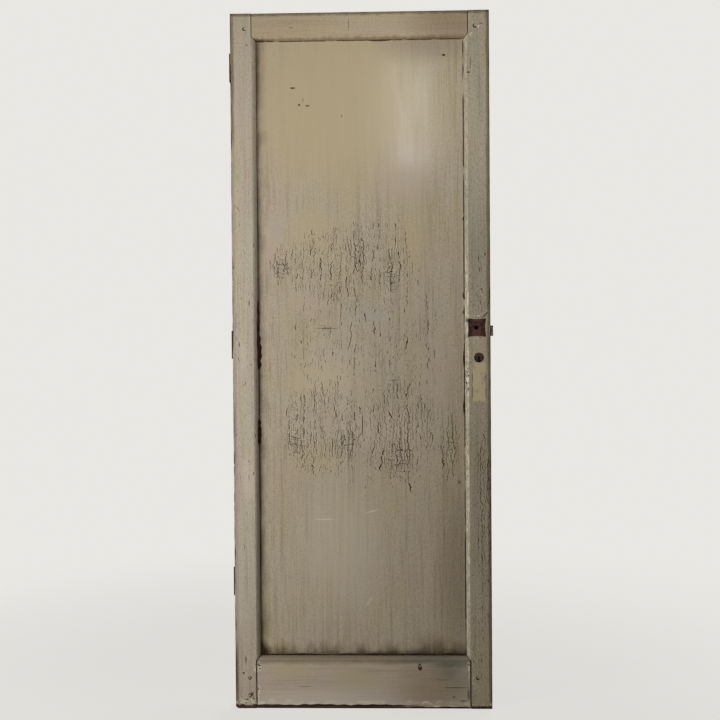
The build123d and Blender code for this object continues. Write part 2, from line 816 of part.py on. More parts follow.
def latch_spring():
    """Spring that presses the follower's heel back, and so the latch bolt out."""
    heel_face = spindle_x + follower_arm_width / 2
    tip_x = heel_face + spring_gap + spring_thickness / 2
    return flat_spring(latch_spring_post, (tip_x, spindle_rise + follower_heel_reach))


def bolt_spring():
    """Spring that bears on the dead bolt's tail and keeps it where the key leaves it."""
    tip_x = bolt_spring_post[0] + bolt_spring_run
    tip_z = dead_bolt_top + spring_gap + spring_thickness / 2
    return flat_spring(bolt_spring_post, (tip_x, tip_z))


def build_nodes():
    """Every node of the door: its name, and its solid or group of solids."""
    nodes = {
        "hinge_stile": hinge_stile(),
        "lock_stile": lock_stile(),
        "top_rail": rail(top_flat, top_edge_z, -1, top_tenons),
        "bottom_rail": bottom_rail(),
        "panel": flat_panel(),
        "tenon_pegs": pegs(),
        "hinge_screws": hinge_screws(),
        "lock_case": lock_case(),
        "lock_cover": lock_cover(),
        "lock_cover_screws": cover_screws(),
        "lock_forend": forend(),
        "forend_rivets": forend_rivets(),
        "forend_screws": forend_screws(),
        "follower": follower(),
        "latch_bolt": latch_bolt(),
        "latch_spring": latch_spring(),
        "dead_bolt": dead_bolt(),
        "bolt_spring": bolt_spring(),
    }
    for place, rise in hinge_rises.items():
        nodes[f"{place}_hinge_door_leaf"] = hinge_leaf(rise, 1, 1, hinge_near_row, hinge_far_row)
        nodes[f"{place}_hinge_frame_leaf"] = hinge_leaf(rise, -1, 0, hinge_far_row, hinge_near_row)
        nodes[f"{place}_hinge_pin"] = hinge_pin(rise)
    return nodes


def main():
    """Write one file for each node."""
    os.makedirs("parts", exist_ok=True)
    for name, shape in build_nodes().items():
        solids = shape if isinstance(shape, list) else [shape]
        export_step(Compound([solid for item in solids for solid in item.solids()]), f"parts/{name}.step")


main()
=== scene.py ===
"""Looks of an old interior door leaf: oil paint brushed over softwood, gone yellow, cracked and chipped,
with blackened hinges and a rusty mortise lock. Sizes are millimetres in the part's own frame."""

import json
import logging
import math
from collections.abc import Mapping, Sequence
from dataclasses import dataclass
from enum import Enum
from typing import Optional, Union

import bpy
from bpy.types import Material, NodeSocket, NodeTree, Object
from mathutils import Matrix, Vector


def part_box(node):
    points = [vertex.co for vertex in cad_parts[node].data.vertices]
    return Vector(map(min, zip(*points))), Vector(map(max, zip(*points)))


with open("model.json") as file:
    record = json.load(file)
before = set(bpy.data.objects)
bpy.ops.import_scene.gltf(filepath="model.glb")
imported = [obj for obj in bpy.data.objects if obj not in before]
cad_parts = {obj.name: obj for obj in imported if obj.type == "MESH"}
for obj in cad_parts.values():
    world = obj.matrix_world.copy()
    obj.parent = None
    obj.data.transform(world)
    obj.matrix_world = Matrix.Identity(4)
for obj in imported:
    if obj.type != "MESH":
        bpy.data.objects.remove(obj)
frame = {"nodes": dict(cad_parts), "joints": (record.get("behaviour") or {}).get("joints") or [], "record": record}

log = logging.getLogger("interior_door")

MM_PER_M = 1000.0
M_PER_MM = 0.001

Colour = tuple[float, float, float, float]
Place = tuple[float, float, float]
Size = tuple[float, float]
Value = Union[float, tuple[float, ...], NodeSocket]


class Kind(Enum):
    """Shader nodes used by the finishes."""

    COORDINATES = "ShaderNodeTexCoord"
    MATH = "ShaderNodeMath"
    VECTOR = "ShaderNodeVectorMath"
    SPLIT = "ShaderNodeSeparateXYZ"
    JOIN = "ShaderNodeCombineXYZ"
    NOISE = "ShaderNodeTexNoise"
    CELLS = "ShaderNodeTexVoronoi"
    RANGE = "ShaderNodeMapRange"
    MIX = "ShaderNodeMix"
    BUMP = "ShaderNodeBump"
    SURFACE = "ShaderNodeBsdfPrincipled"
    GLOW = "ShaderNodeEmission"
    BLEND = "ShaderNodeMixShader"
    RAYS = "ShaderNodeLightPath"
    SKY = "ShaderNodeBackground"
    OUTPUT = "ShaderNodeOutputMaterial"
    SKY_OUTPUT = "ShaderNodeOutputWorld"


class Grain(Enum):
    """Way that the wood's grain and the brush strokes run."""

    UPRIGHT = "upright"
    LEVEL = "level"


def srgb(code: str) -> Colour:
    """Turn an sRGB hex colour to linear light.

    Args:
        code: Six hex digits after a hash.

    Returns:
        Linear red, green and blue, and an alpha of one.
    """
    parts = [int(code[at : at + 2], 16) / 255 for at in (1, 3, 5)]
    linear = [p / 12.92 if p <= 0.04045 else ((p + 0.055) / 1.055) ** 2.4 for p in parts]
    return (linear[0], linear[1], linear[2], 1.0)


def add(
    tree: NodeTree,
    kind: Kind,
    *inputs: Optional[Value],
    out: str = "",
    named: Optional[Mapping[str, Value]] = None,
    **settings: object,
) -> NodeSocket:
    """Add a node with its settings, and link or set its inputs.

    Args:
        tree: Tree that gets the node.
        kind: Kind of node.
        inputs: Values or sockets for the inputs in use, in order.
        out: Name of the output to return, or nothing for the first in use.
        named: Values or sockets for inputs by name.
        settings: The node's own settings.

    Returns:
        The chosen output, or the first input of a node with no output.
    """
    node = tree.nodes.new(kind.value)
    for name, setting in settings.items():
        setattr(node, name, setting)
    used = [socket for socket in node.inputs if socket.enabled]
    pairs = list(zip(used, inputs))
    pairs += [(node.inputs[name], value) for name, value in (named or {}).items()]
    for socket, value in pairs:
        if isinstance(value, NodeSocket):
            tree.links.new(value, socket)
        else:
            socket.default_value = value
    if out:
        return node.outputs[out]
    outputs = [socket for socket in node.outputs if socket.enabled]
    return outputs[0] if outputs else used[0]


@dataclass(frozen=True)
class Spot:
    """Oval spot on a face of the leaf: its middle and half sizes, how much of it is soft, its strength, and
    how far it leans to the right for each millimetre of height."""

    x: float
    z: float
    half_x: float
    half_z: float
    soft: float = 0.6
    strength: float = 1.0
    lean: float = 0.0


Spots = tuple[Spot, ...]


@dataclass(frozen=True)
class Crack:
    """One size of crack: the usual distance between two, half its width, the size of the stretches that are
    open, and whether it runs across the grain."""

    spacing: float
    half_width: float
    dash: Size
    crosswise: bool = False


@dataclass(frozen=True)
class Leaf:
    """Sizes of the leaf that the finishes follow."""

    half_width: float
    height: float
    half_thickness: float
    sight_x: float
    sight_low: float
    sight_high: float
    panel_half: float
    spindle_x: float
    spindle_z: float
    key_x: float
    key_z: float
    moulding: float = 11.0
    peg_x: float = 326.5
    peg_radius: float = 5.5

    @classmethod
    def from_frame(cls) -> "Leaf":
        """Read the sizes from the loaded frame.

        Returns:
            The leaf's sizes.
        """
        low, high = (corner * MM_PER_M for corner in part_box("lock_stile"))
        joints = {joint["name"]: joint for joint in frame["joints"]}
        mounts = {mount["name"]: mount for mount in frame["record"]["mounts"]}
        spindle = Vector(joints["follower_turn"]["pos_m"]) * MM_PER_M
        key = Vector(mounts["keyhole"]["pos_m"]) * MM_PER_M
        return cls(
            half_width=high.x,
            height=high.z,
            half_thickness=high.y,
            sight_x=low.x,
            sight_low=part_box("bottom_rail")[1].z * MM_PER_M,
            sight_high=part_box("top_rail")[0].z * MM_PER_M,
            panel_half=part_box("panel")[1].y * MM_PER_M,
            spindle_x=spindle.x,
            spindle_z=spindle.z,
            key_x=key.x,
            key_z=key.z,
        )

    @property
    def shoulder_x(self) -> float:
        """Where the rails meet the flats of the stiles."""
        return self.sight_x + self.moulding


class Finish:
    """Shader tree of one finish, built up in layers, with the part's millimetres as sockets."""

    def __init__(self, name: str, grain: Grain, colour: Value, rough: float) -> None:
        """Start a material.

        Args:
            name: The material's name.
            grain: Way that streaks run.
            colour: Colour of the lowest layer.
            rough: Roughness of the lowest layer.
        """
        self.material: Material = bpy.data.materials.new(name)
        self.material.use_nodes = True
        self.tree: NodeTree = self.material.node_tree
        self.tree.nodes.clear()
        metres = add(self.tree, Kind.COORDINATES, out="Object")
        self.place = add(self.tree, Kind.VECTOR, metres, MM_PER_M, operation="SCALE")
        self.x = add(self.tree, Kind.SPLIT, self.place, out="X")
        self.y = add(self.tree, Kind.SPLIT, self.place, out="Y")
        self.z = add(self.tree, Kind.SPLIT, self.place, out="Z")
        self.side_x = add(self.tree, Kind.MATH, self.x, operation="ABSOLUTE")
        self.side_y = add(self.tree, Kind.MATH, self.y, operation="ABSOLUTE")
        level = add(self.tree, Kind.JOIN, self.z, self.y, self.x)
        self.along = self.place if grain is Grain.UPRIGHT else level
        self.colour: Value = colour
        self.rough: Value = rough
        self.height: Value = 0.0

    def mottle(self, width: float, length: float, detail: float = 2.0, shift: float = 0.0) -> NodeSocket:
        """Cloudy pattern of streaks or blotches.

        Args:
            width: Size of a streak across the grain.
            length: Its size along the grain.
            detail: Octaves of finer pattern.
            shift: Moves the pattern, so that two of a size differ.

        Returns:
            The pattern, about 0.5 in its middle.
        """
        sizes = (1 / width, 1 / width, 1 / length)
        shifts = (shift, shift, shift)
        scaled = add(self.tree, Kind.VECTOR, self.along, sizes, shifts, operation="MULTIPLY_ADD")
        return add(self.tree, Kind.NOISE, scaled, 1.0, detail)

    def beyond(self, value: Value, start: Value) -> NodeSocket:
        """How far a value lies past another."""
        return add(self.tree, Kind.MATH, value, start, operation="SUBTRACT")

    def apart(self, value: Value, middle: Value) -> NodeSocket:
        """How far a value lies from another, either way."""
        return add(self.tree, Kind.MATH, self.beyond(value, middle), operation="ABSOLUTE")

    def wavered(self, value: Value, pattern: NodeSocket, reach: float) -> NodeSocket:
        """A value that a pattern raises by up to a reach, or lowers where the reach is negative."""
        return add(self.tree, Kind.MATH, pattern, reach, value, operation="MULTIPLY_ADD")

    def step(self, value: Value, start: float, end: float, strength: float = 1.0) -> NodeSocket:
        """Smooth step from nothing where a value is at start to full strength at end."""
        span = (start, end, 0.0, strength)
        return add(self.tree, Kind.RANGE, value, *span, interpolation_type="SMOOTHSTEP")

    def both(self, first: Value, second: Value) -> NodeSocket:
        """Where two masks meet."""
        return add(self.tree, Kind.MATH, first, second, operation="MULTIPLY")

    def either(self, masks: Sequence[NodeSocket]) -> NodeSocket:
        """Where any of several masks is.

        Args:
            masks: One mask or more.

        Returns:
            The joined mask.
        """
        joined = masks[0]
        for mask in masks[1:]:
            joined = add(self.tree, Kind.MATH, joined, mask, operation="MAXIMUM")
        return joined

    def band(self, value: Value, low: float, high: float, soft: float) -> NodeSocket:
        """Where a value lies between two others.

        Args:
            value: The value.
            low: Lower end of the band.
            high: Upper end of the band.
            soft: How far each end fades, both ways.

        Returns:
            The band's mask.
        """
        rising = self.step(value, low - soft, low + soft)
        falling = self.step(value, high + soft, high - soft)
        return self.both(rising, falling)

    def on_face(self, mask: Value) -> NodeSocket:
        """Where a mask lies on the photographed side of the leaf."""
        return self.both(self.step(self.y, 2.0, -2.0), mask)

    def sunk(self, face: float, least: float, full: float) -> NodeSocket:
        """Where the front lies deeper than a face at that distance from the middle of the thickness."""
        return self.step(self.y, least - face, full - face)

    def ragged(self, size: float, reach: float) -> NodeSocket:
        """The part's place, shaken so that masks drawn on it get ragged edges.

        Args:
            size: Size of the rags.
            reach: How far an edge strays.

        Returns:
            The shaken place.
        """
        scaled = add(self.tree, Kind.VECTOR, self.place, 1 / size, operation="SCALE")
        noise = add(self.tree, Kind.NOISE, scaled, 1.0, 3.0, out="Color")
        centred = add(self.tree, Kind.VECTOR, noise, (0.5, 0.5, 0.5), operation="SUBTRACT")
        reaches = (2 * reach, 2 * reach, 2 * reach)
        return add(self.tree, Kind.VECTOR, centred, reaches, self.place, operation="MULTIPLY_ADD")

    def spots(self, spots: Sequence[Spot], place: Optional[NodeSocket] = None) -> NodeSocket:
        """Where any of several spots is.

        Args:
            spots: One spot or more.
            place: The part's place, or a shaken one.

        Returns:
            The spots' mask.
        """
        masks = []
        for spot in spots:
            scale = (1 / spot.half_x, 0.0, 1 / spot.half_z)
            middle = spot.x - spot.lean * spot.z
            offset = (-middle / spot.half_x, 0.0, -spot.z / spot.half_z)
            at = place or self.place
            if spot.lean:
                upright = (1.0, 0.0, -spot.lean)
                across = add(self.tree, Kind.VECTOR, at, upright, out="Value", operation="DOT_PRODUCT")
                at = add(self.tree, Kind.JOIN, across, 0.0, add(self.tree, Kind.SPLIT, at, out="Z"))
            centred = add(self.tree, Kind.VECTOR, at, scale, offset, operation="MULTIPLY_ADD")
            radius = add(self.tree, Kind.VECTOR, centred, out="Value", operation="LENGTH")
            masks.append(self.step(radius, 1.0, 1.0 - spot.soft, spot.strength))
        return self.either(masks)

    def lay(self, mask: Value, colour: Value, rough: Optional[Value] = None, rise: float = 0.0) -> None:
        """Lay a film, a stain, a loss, painted shade or a painted highlight over what is there.

        Args:
            mask: Where it lies, from 0 to 1.
            colour: Its colour.
            rough: Its roughness, or None to leave that.
            rise: How far it stands proud in millimetres, negative for a loss.
        """
        self.colour = add(self.tree, Kind.MIX, mask, self.colour, colour, data_type="RGBA")
        if rough is not None:
            self.rough = add(self.tree, Kind.MIX, mask, self.rough, rough, data_type="FLOAT")
        if rise:
            self.height = self.wavered(self.height, mask, rise)

    def shade(self, mask: Value, tint: Colour) -> None:
        """Darken or tint what is there, as grime and faded coats do, and as painted shade does."""
        settings = {"data_type": "RGBA", "blend_type": "MULTIPLY"}
        self.colour = add(self.tree, Kind.MIX, mask, self.colour, tint, **settings)

    def close(self, **sockets: Value) -> Material:
        """Join the layers to a surface shader.

        Args:
            sockets: Further inputs of the shader, by name with _ for each space.

        Returns:
            The finished material.
        """
        bump = add(self.tree, Kind.BUMP, named={"Distance": M_PER_MM, "Height": self.height})
        named = {name.replace("_", " "): value for name, value in sockets.items()}
        named |= {"Base Color": self.colour, "Roughness": self.rough, "Normal": bump}
        surface = add(self.tree, Kind.SURFACE, named=named)
        add(self.tree, Kind.OUTPUT, surface)
        return self.material


@dataclass(frozen=True)
class OilPaint:
    """Brushed oil paint on softwood: several old coats that have yellowed, faded and taken up dirt.

    The eye gets a low sheen, brush streaks along the grain, cloudy yellowing and rosy fading, open cracks
    with dark wood in them and a painted highlight beside them, and dark wood wherever an edge was knocked.
    The size of a pattern is its width across the grain and its length along it.
    """

    leaf: Leaf
    name: str = "oil_paint_brushed"
    grain: Grain = Grain.UPRIGHT
    coat: Colour = srgb("#AEA593")
    yellowed: Colour = srgb("#ABA18B")
    faded: Colour = srgb("#AD9F91")
    # Pale undercoat; also laid beside the cracks as a painted highlight.
    undercoat_and_highlight: Colour = srgb("#CDC3AF")
    wood: Colour = srgb("#4A3A2B")
    # Bare old wood; also laid as painted shade in the creases round the panel.
    dark_wood_and_shade: Colour = srgb("#21160F")
    crack: Colour = srgb("#3A2205")
    stroke_tint: Colour = srgb("#D2CCC0")
    bristle_tint: Colour = srgb("#BFB7A9")
    speck_tint: Colour = srgb("#B2A999")
    edge_dirt: Colour = srgb("#B0AE98")
    # Dirt and painted shade on the leaf's narrow side faces.
    arris_dirt_and_shade: Colour = srgb("#8A7B66")
    gloss_rough: float = 0.42
    smear_rough: float = 0.06
    dry_rough: float = 0.8
    specular: float = 0.2
    film: float = 0.35
    fleck_rise: float = 0.2
    bristle_height: float = 0.08
    cloud_share: float = 0.9
    blush_share: float = 0.8
    streaks: float = 0.4
    speckle: float = 0.5
    cloud_size: Size = (110.0, 260.0)
    blush_size: Size = (46.0, 330.0)
    stroke_size: Size = (9.0, 300.0)
    bristle_size: Size = (3.0, 120.0)
    speck_size: Size = (3.5, 6.0)
    smear_size: Size = (40.0, 200.0)
    fibre_size: Size = (2.5, 90.0)
    crumb_size: Size = (4.0, 5.0)
    pit_size: Size = (5.0, 6.0)
    edge_dirt_size: Size = (8.0, 70.0)
    arris_rub_size: Size = (7.0, 60.0)
    top_rub_size: Size = (26.0, 26.0)
    edge_rag: float = 9.0
    top_rag: float = 10.0
    jag_size: Size = (24.0, 8.0)
    jag_reach: float = 10.0
    # Width of the painted highlight beside each crack.
    highlight_width: float = 1.8
    nick_rag: float = 5.0
    nick_reach: float = 1.6
    # Real cracks are under 1 mm wide; they are drawn up to 3 mm wide so that they show.
    cracks: tuple[Crack, ...] = (
        Crack(6.5, 0.5, (4.5, 13.0)),
        Crack(12.0, 0.85, (6.0, 16.0)),
        Crack(25.0, 1.5, (9.0, 22.0)),
    )
    flecked: Spots = ()

    def ground(self) -> Finish:
        """Lay the coats themselves: cloudy colour and brush streaks.

        Returns:
            The finish, ready for the piece's own marks.
        """
        finish = Finish(self.name, self.grain, self.coat, self.gloss_rough)
        cloud = finish.mottle(*self.cloud_size, 3.0)
        finish.lay(finish.step(cloud, 0.42, 0.64, self.cloud_share), self.yellowed)
        blush = finish.mottle(*self.blush_size, 2.0, 7.3)
        finish.lay(finish.step(blush, 0.45, 0.68, self.blush_share), self.faded)
        strokes = finish.mottle(*self.stroke_size, 3.0, 2.1)
        finish.shade(finish.step(strokes, 0.45, 0.8, self.streaks), self.stroke_tint)
        # Bristle lines are about 1 mm wide and specks finer; both are drawn at 3 mm so that they show.
        bristles = finish.mottle(*self.bristle_size, 2.0, 4.4)
        finish.shade(finish.step(bristles, 0.5, 0.8, self.streaks), self.bristle_tint)
        specks = finish.mottle(*self.speck_size, 3.0, 6.6)
        finish.shade(finish.step(specks, 0.42, 0.8, self.speckle), self.speck_tint)
        finish.height = finish.both(bristles, self.bristle_height)
        smear = finish.mottle(*self.smear_size, 3.0, 9.7)
        rough = (self.gloss_rough - self.smear_rough, self.gloss_rough + self.smear_rough)
        finish.rough = add(finish.tree, Kind.RANGE, smear, 0.3, 0.7, *rough)
        return finish

    def lines(self, finish: Finish, crack: Crack) -> NodeSocket:
        """Distance in millimetres from the nearest of many wandering lines.

        Args:
            finish: The finish that gets them.
            crack: Kind of crack that the lines are for.

        Returns:
            The distance.
        """
        spacing = crack.spacing
        shift = spacing * 0.7
        wander = finish.mottle(2.5 * spacing, 3.5 * spacing, 2.0, shift)
        across = add(finish.tree, Kind.SPLIT, finish.along, out="Z" if crack.crosswise else "X")
        place = add(finish.tree, Kind.MATH, across, 1 / spacing, shift, operation="MULTIPLY_ADD")
        place = finish.wavered(place, wander, 1.7)
        jags = finish.mottle(*self.jag_size, 2.0, shift + 3.0)
        place = finish.wavered(place, jags, self.jag_reach / spacing)
        settings = {"voronoi_dimensions": "1D", "feature": "DISTANCE_TO_EDGE"}
        apart = add(finish.tree, Kind.CELLS, place, 1.0, **settings)
        return finish.both(apart, spacing)

    def crackle(self, finish: Finish, thick: NodeSocket, cracks: Sequence[Crack]) -> None:
        """Open cracks in broken lines, with a painted highlight beside them where the lifted paint's edge would
        catch the light.

        Args:
            finish: The finish that gets them.
            thick: How thick the lines lie, from 0 to 1.
            cracks: The kinds of crack.
        """
        for crack in cracks:
            apart = self.lines(finish, crack)
            width, length = crack.dash
            dashes = finish.mottle(width, length, 2.0, crack.spacing)
            gather = finish.mottle(4 * width, 3 * length, 2.0, crack.spacing * 0.3)
            covered = finish.wavered(dashes, gather, 0.7)
            open_ = finish.step(finish.wavered(covered, thick, 1.0), 1.29, 1.37)
            half = crack.half_width
            # Painted highlight: a pale rim beside each crack, where the lifted paint's edge would catch the light.
            lifted_edge_highlight = finish.both(open_, finish.step(apart, half + self.highlight_width, half, 0.25))
            finish.lay(lifted_edge_highlight, self.undercoat_and_highlight)
            core = finish.both(open_, finish.step(apart, half, half * 0.5, 0.95))
            finish.lay(core, self.crack, self.dry_rough, -self.film)

    def bare(self, finish: Finish, mask: NodeSocket) -> None:
        """Take the paint off down to dark old wood.

        Args:
            finish: The finish that loses its paint.
            mask: Where it is lost.
        """
        shares = finish.step(finish.mottle(*self.fibre_size, 3.0, 5.5), 0.35, 0.7)
        wood = add(finish.tree, Kind.MIX, shares, self.dark_wood_and_shade, self.wood, data_type="RGBA")
        finish.lay(mask, wood, self.dry_rough, -self.film)

    def nicked(self, finish: Finish, nicks: Sequence[Spot]) -> None:
        """Knock the paint off in small ragged spots.

        Args:
            finish: The finish that is nicked.
            nicks: The spots.
        """
        rags = finish.ragged(self.nick_rag, self.nick_reach)
        self.bare(finish, finish.on_face(finish.spots(nicks, rags)))

    def flake(self, finish: Finish) -> None:
        """Crumble the top coat to pale flecks of undercoat, with dark pits among them.

        Args:
            finish: The finish that is flaked.
        """
        where = finish.on_face(finish.spots(self.flecked))
        pale = finish.wavered(finish.mottle(*self.crumb_size, 2.0, 5.1), where, 1.0)
        finish.lay(finish.step(pale, 1.35, 1.43, 0.9), self.undercoat_and_highlight, None, self.fleck_rise)
        pits = finish.wavered(finish.mottle(*self.pit_size, 2.0, 9.4), where, 1.0)
        finish.lay(finish.step(pits, 1.48, 1.54, 0.9), self.wood, self.dry_rough, -self.film)

    def worn_edges(self, finish: Finish, dirty: NodeSocket) -> None:
        """Rub the paint off the leaf's upright arrises, dirty the faces beside them, and darken the narrow side
        faces with dirt and painted shade.

        Args:
            finish: The finish that is worn.
            dirty: How dirty the edge is, from 0 to 1.
        """
        inset_x = finish.beyond(self.leaf.half_width, finish.side_x)
        inset_y = finish.beyond(self.leaf.half_thickness, finish.side_y)
        reach = finish.wavered(inset_x, finish.mottle(*self.edge_dirt_size, 3.0, 3.6), -self.edge_rag)
        finish.shade(finish.both(dirty, finish.step(reach, 8.0, 2.0, 0.9)), self.edge_dirt)
        arris = finish.wavered(inset_y, inset_x, 1.0)
        worn = finish.wavered(arris, finish.mottle(*self.arris_rub_size, 3.0, 1.7), -self.edge_rag)
        self.bare(finish, finish.step(worn, -2.0, -3.4))
        # Dirt and painted shade on the narrow side faces and the outermost fraction of a millimetre of the
        # arrises.
        finish.shade(finish.step(inset_x, 0.6, 0.2, 0.8), self.arris_dirt_and_shade)

    def worn_top(self, finish: Finish) -> None:
        """Dirty and rub the paint along the leaf's top edge.

        Args:
            finish: The finish that is worn.
        """
        drop = finish.beyond(self.leaf.height, finish.z)
        reach = finish.wavered(drop, finish.mottle(*self.top_rub_size, 3.0, 2.9), -self.top_rag)
        finish.shade(finish.step(reach, 7.0, 0.0, 0.9), self.edge_dirt)
        self.bare(finish, finish.step(reach, -3.2, -4.6, 0.8))

    def finished(self, finish: Finish) -> Material:
        """Close the finish with the paint's own gloss."""
        return finish.close(Specular_IOR_Level=self.specular)


@dataclass(frozen=True)
class PanelPaint(OilPaint):
    """The panel's paint: yellow patches, two belts of cracks, lost veneer at the edges, dirt at the foot, and
    painted shade along the mouldings, in the creases and on the right.
    """

    name: str = "oil_paint_brushed_on_veneer"
    coat: Colour = srgb("#ABA08C")
    yellowed: Colour = srgb("#AC9D7E")
    faded: Colour = srgb("#AC9C8C")
    grey: Colour = srgb("#A29B92")
    pale: Colour = srgb("#B8AC98")
    # Tint of the painted shade on the panel's right side, lower right and top right, where less light falls.
    painted_shade: Colour = srgb("#DAD5D2")
    # Grime at the foot, and painted shade along the hinge stile, under the top rail and at the foot.
    painted_shade_and_dirt: Colour = srgb("#7A6C58")
    raw_wood: Colour = srgb("#553527")
    gloss_rough: float = 0.22
    specular: float = 0.08
    bristle_height: float = 0.03
    cloud_share: float = 0.5
    blush_share: float = 0.5
    streaks: float = 0.5
    blush_size: Size = (95.0, 330.0)
    dirt_and_shade_size: Size = (30.0, 70.0)
    seam_size: Size = (16.0, 60.0)
    raw_size: Size = (8.0, 30.0)
    foot_rag: float = 18.0
    foot_reach: float = 6.0
    # Cracks that link the others to a mesh, where they lie thickest.
    links: tuple[Crack, ...] = (Crack(14.0, 1.2, (13.0, 15.0)), Crack(15.0, 1.0, (17.0, 9.0), True))
    cracked: Spots = (
        Spot(-75, 1265, 220, 160, 0.5, 0.48),
        Spot(60, 1290, 140, 190, 0.6, 0.48),
        Spot(-110, 800, 180, 210, 0.5, 0.47),
        Spot(110, 790, 150, 230, 0.5, 0.5),
        Spot(250, 750, 50, 160, 0.6, 0.52),
        Spot(20, 1010, 290, 520, 0.4, 0.36),
        Spot(-231, 1272, 45, 100, 0.7, 0.58),
        Spot(-10, 1305, 45, 140, 0.7, 0.6),
        Spot(90, 1262, 50, 120, 0.7, 0.57),
        Spot(-180, 775, 80, 130, 0.7, 0.54),
        Spot(-40, 765, 45, 95, 0.7, 0.6),
        Spot(120, 757, 80, 170, 0.7, 0.58),
        Spot(249, 759, 40, 120, 0.7, 0.58),
    )
    meshed: Spots = (
        Spot(-228, 1262, 45, 65, 0.8, 0.58),
        Spot(-5, 1290, 45, 85, 0.8, 0.58),
        Spot(90, 1240, 45, 75, 0.8, 0.52),
        Spot(-40, 765, 42, 70, 0.8, 0.56),
        Spot(110, 720, 80, 115, 0.8, 0.56),
        Spot(250, 750, 36, 75, 0.8, 0.56),
        Spot(-190, 760, 60, 75, 0.8, 0.5),
    )
    yellow_patches: Spots = (
        Spot(-119, 940, 120, 85, 0.8, 0.9),
        Spot(-128, 712, 120, 90, 0.9, 0.7),
        Spot(-138, 1357, 120, 130, 0.9, 0.7),
        Spot(-60, 1740, 420, 370, 0.7, 0.9),
        Spot(150, 1330, 90, 180, 0.9, 0.5),
    )
    faded_patches: Spots = (
        Spot(-150, 1170, 90, 90, 0.9, 0.7),
        Spot(120, 760, 110, 190, 0.9, 0.6),
        Spot(-250, 1330, 45, 140, 0.9, 0.7),
        Spot(140, 1530, 110, 160, 0.9, 0.6),
        Spot(210, 960, 70, 160, 0.9, 0.7),
    )
    grey_patches: Spots = (
        Spot(25, 1127, 80, 55, 0.9, 0.7),
        Spot(-238, 1370, 30, 60, 0.9, 0.5),
        Spot(-10, 420, 60, 260, 0.9, 0.2),
    )
    pale_patches: Spots = (
        Spot(-60, 470, 190, 330, 0.9, 0.6),
        Spot(-80, 930, 170, 240, 0.9, 0.5),
        Spot(0, 800, 270, 85, 0.9, 0.5),
    )
    # Where the panel's painted shade lies.
    painted_shade_patches: Spots = (
        Spot(282, 370, 110, 440, 0.9, 0.95),
        Spot(240, 175, 150, 60, 0.9, 0.95),
        Spot(190, 1900, 190, 80, 0.9, 0.7),
    )
    # Painted shade in the crease along the panel's foot and in its bottom left corner, laid in the dark wood
    # colour.
    dark_foot: Spots = (
        Spot(-298, 147, 40, 62, 0.7, 0.95),
        Spot(-190, 150, 90, 9, 0.9, 0.6),
        Spot(60, 150, 140, 16, 0.9, 0.6),
        Spot(160, 150, 70, 26, 0.9, 0.6),
        Spot(255, 150, 60, 20, 0.9, 0.65),
    )
    nicks: Spots = (
        Spot(-191, 1776, 10, 3.5, 0.7),
        Spot(-173, 1728, 5, 4, 0.7),
        Spot(-149, 1725, 9, 3.5, 0.7, 0.8),
        Spot(-162, 1741, 2.2, 9, 0.7, 0.6),
        Spot(240, 1864, 8, 4.5, 0.7),
        Spot(54, 1907, 28, 3, 0.6, 0.8),
        Spot(-52, 1695, 4.5, 4.5, 0.7, 0.5),
        Spot(-99, 1089.5, 46, 1.9, 0.7, 0.7),
        Spot(91, 940, 17, 1.9, 0.7, 0.7),
        Spot(1.8, 812, 2.6, 50, 0.7, 0.8),
        Spot(278, 647, 8, 9, 0.8, 0.5),
        Spot(204, 158, 2, 9, 0.6, 0.7),
        Spot(217, 157, 1.8, 8, 0.6, 0.6),
        Spot(245, 165, 30, 1.8, 0.7, 0.5),
        Spot(294, 1399, 4, 8, 0.6),
        Spot(294, 1180, 5, 12, 0.6),
        Spot(294, 1132, 5, 7, 0.6),
        Spot(294, 1000, 5, 36, 0.5),
        Spot(294, 862, 5.5, 27, 0.5),
    )
    scratches: Spots = (
        Spot(-108, 541, 42, 2.6, 0.7, 0.7),
        Spot(26, 563, 9, 7.5, 0.7, 0.7, 3.6),
        Spot(17, 303, 2.8, 21, 0.7, 0.6, 0.72),
    )

    def dress(self) -> Material:
        """Build the panel's material.

        Returns:
            The material.
        """
        finish = self.ground()
        patches = (
            (self.yellow_patches, self.yellowed),
            (self.faded_patches, self.faded),
            (self.grey_patches, self.grey),
            (self.pale_patches, self.pale),
        )
        for spots, colour in patches:
            finish.lay(finish.on_face(finish.spots(spots)), colour)
        # Painted shade on the right of the panel.
        finish.shade(finish.on_face(finish.spots(self.painted_shade_patches)), self.painted_shade)
        self.crackle(finish, finish.on_face(finish.spots(self.cracked)), self.cracks)
        self.crackle(finish, finish.on_face(finish.spots(self.meshed)), self.links)
        rags = finish.ragged(self.nick_rag, self.nick_reach)
        finish.lay(finish.on_face(finish.spots(self.scratches, rags)), self.undercoat_and_highlight)
        self.nicked(finish, self.nicks)
        self.dirt_and_painted_shade(finish)
        lost = finish.on_face(finish.sunk(self.leaf.panel_half, 0.5, 0.9))
        self.bare(finish, lost)
        raw = finish.step(finish.mottle(*self.raw_size), 0.4, 0.6, 0.8)
        finish.lay(finish.both(lost, raw), self.raw_wood)
        return self.finished(finish)

    def dirt_and_painted_shade(self, finish: Finish) -> None:
        """Darken the panel with painted shade along the hinge stile and under the top rail, with painted shade and
        grime at its foot, and paint shade into its seams and the crease at its foot.

        Args:
            finish: The finish that is dirtied.
        """
        leaf = self.leaf
        uneven = finish.mottle(*self.dirt_and_shade_size, 3.0, 6.1)
        from_left = finish.beyond(finish.x, -leaf.sight_x)
        from_right = finish.beyond(leaf.sight_x, finish.x)
        rise = finish.beyond(finish.z, leaf.sight_low)
        drop = finish.beyond(leaf.sight_high, finish.z)
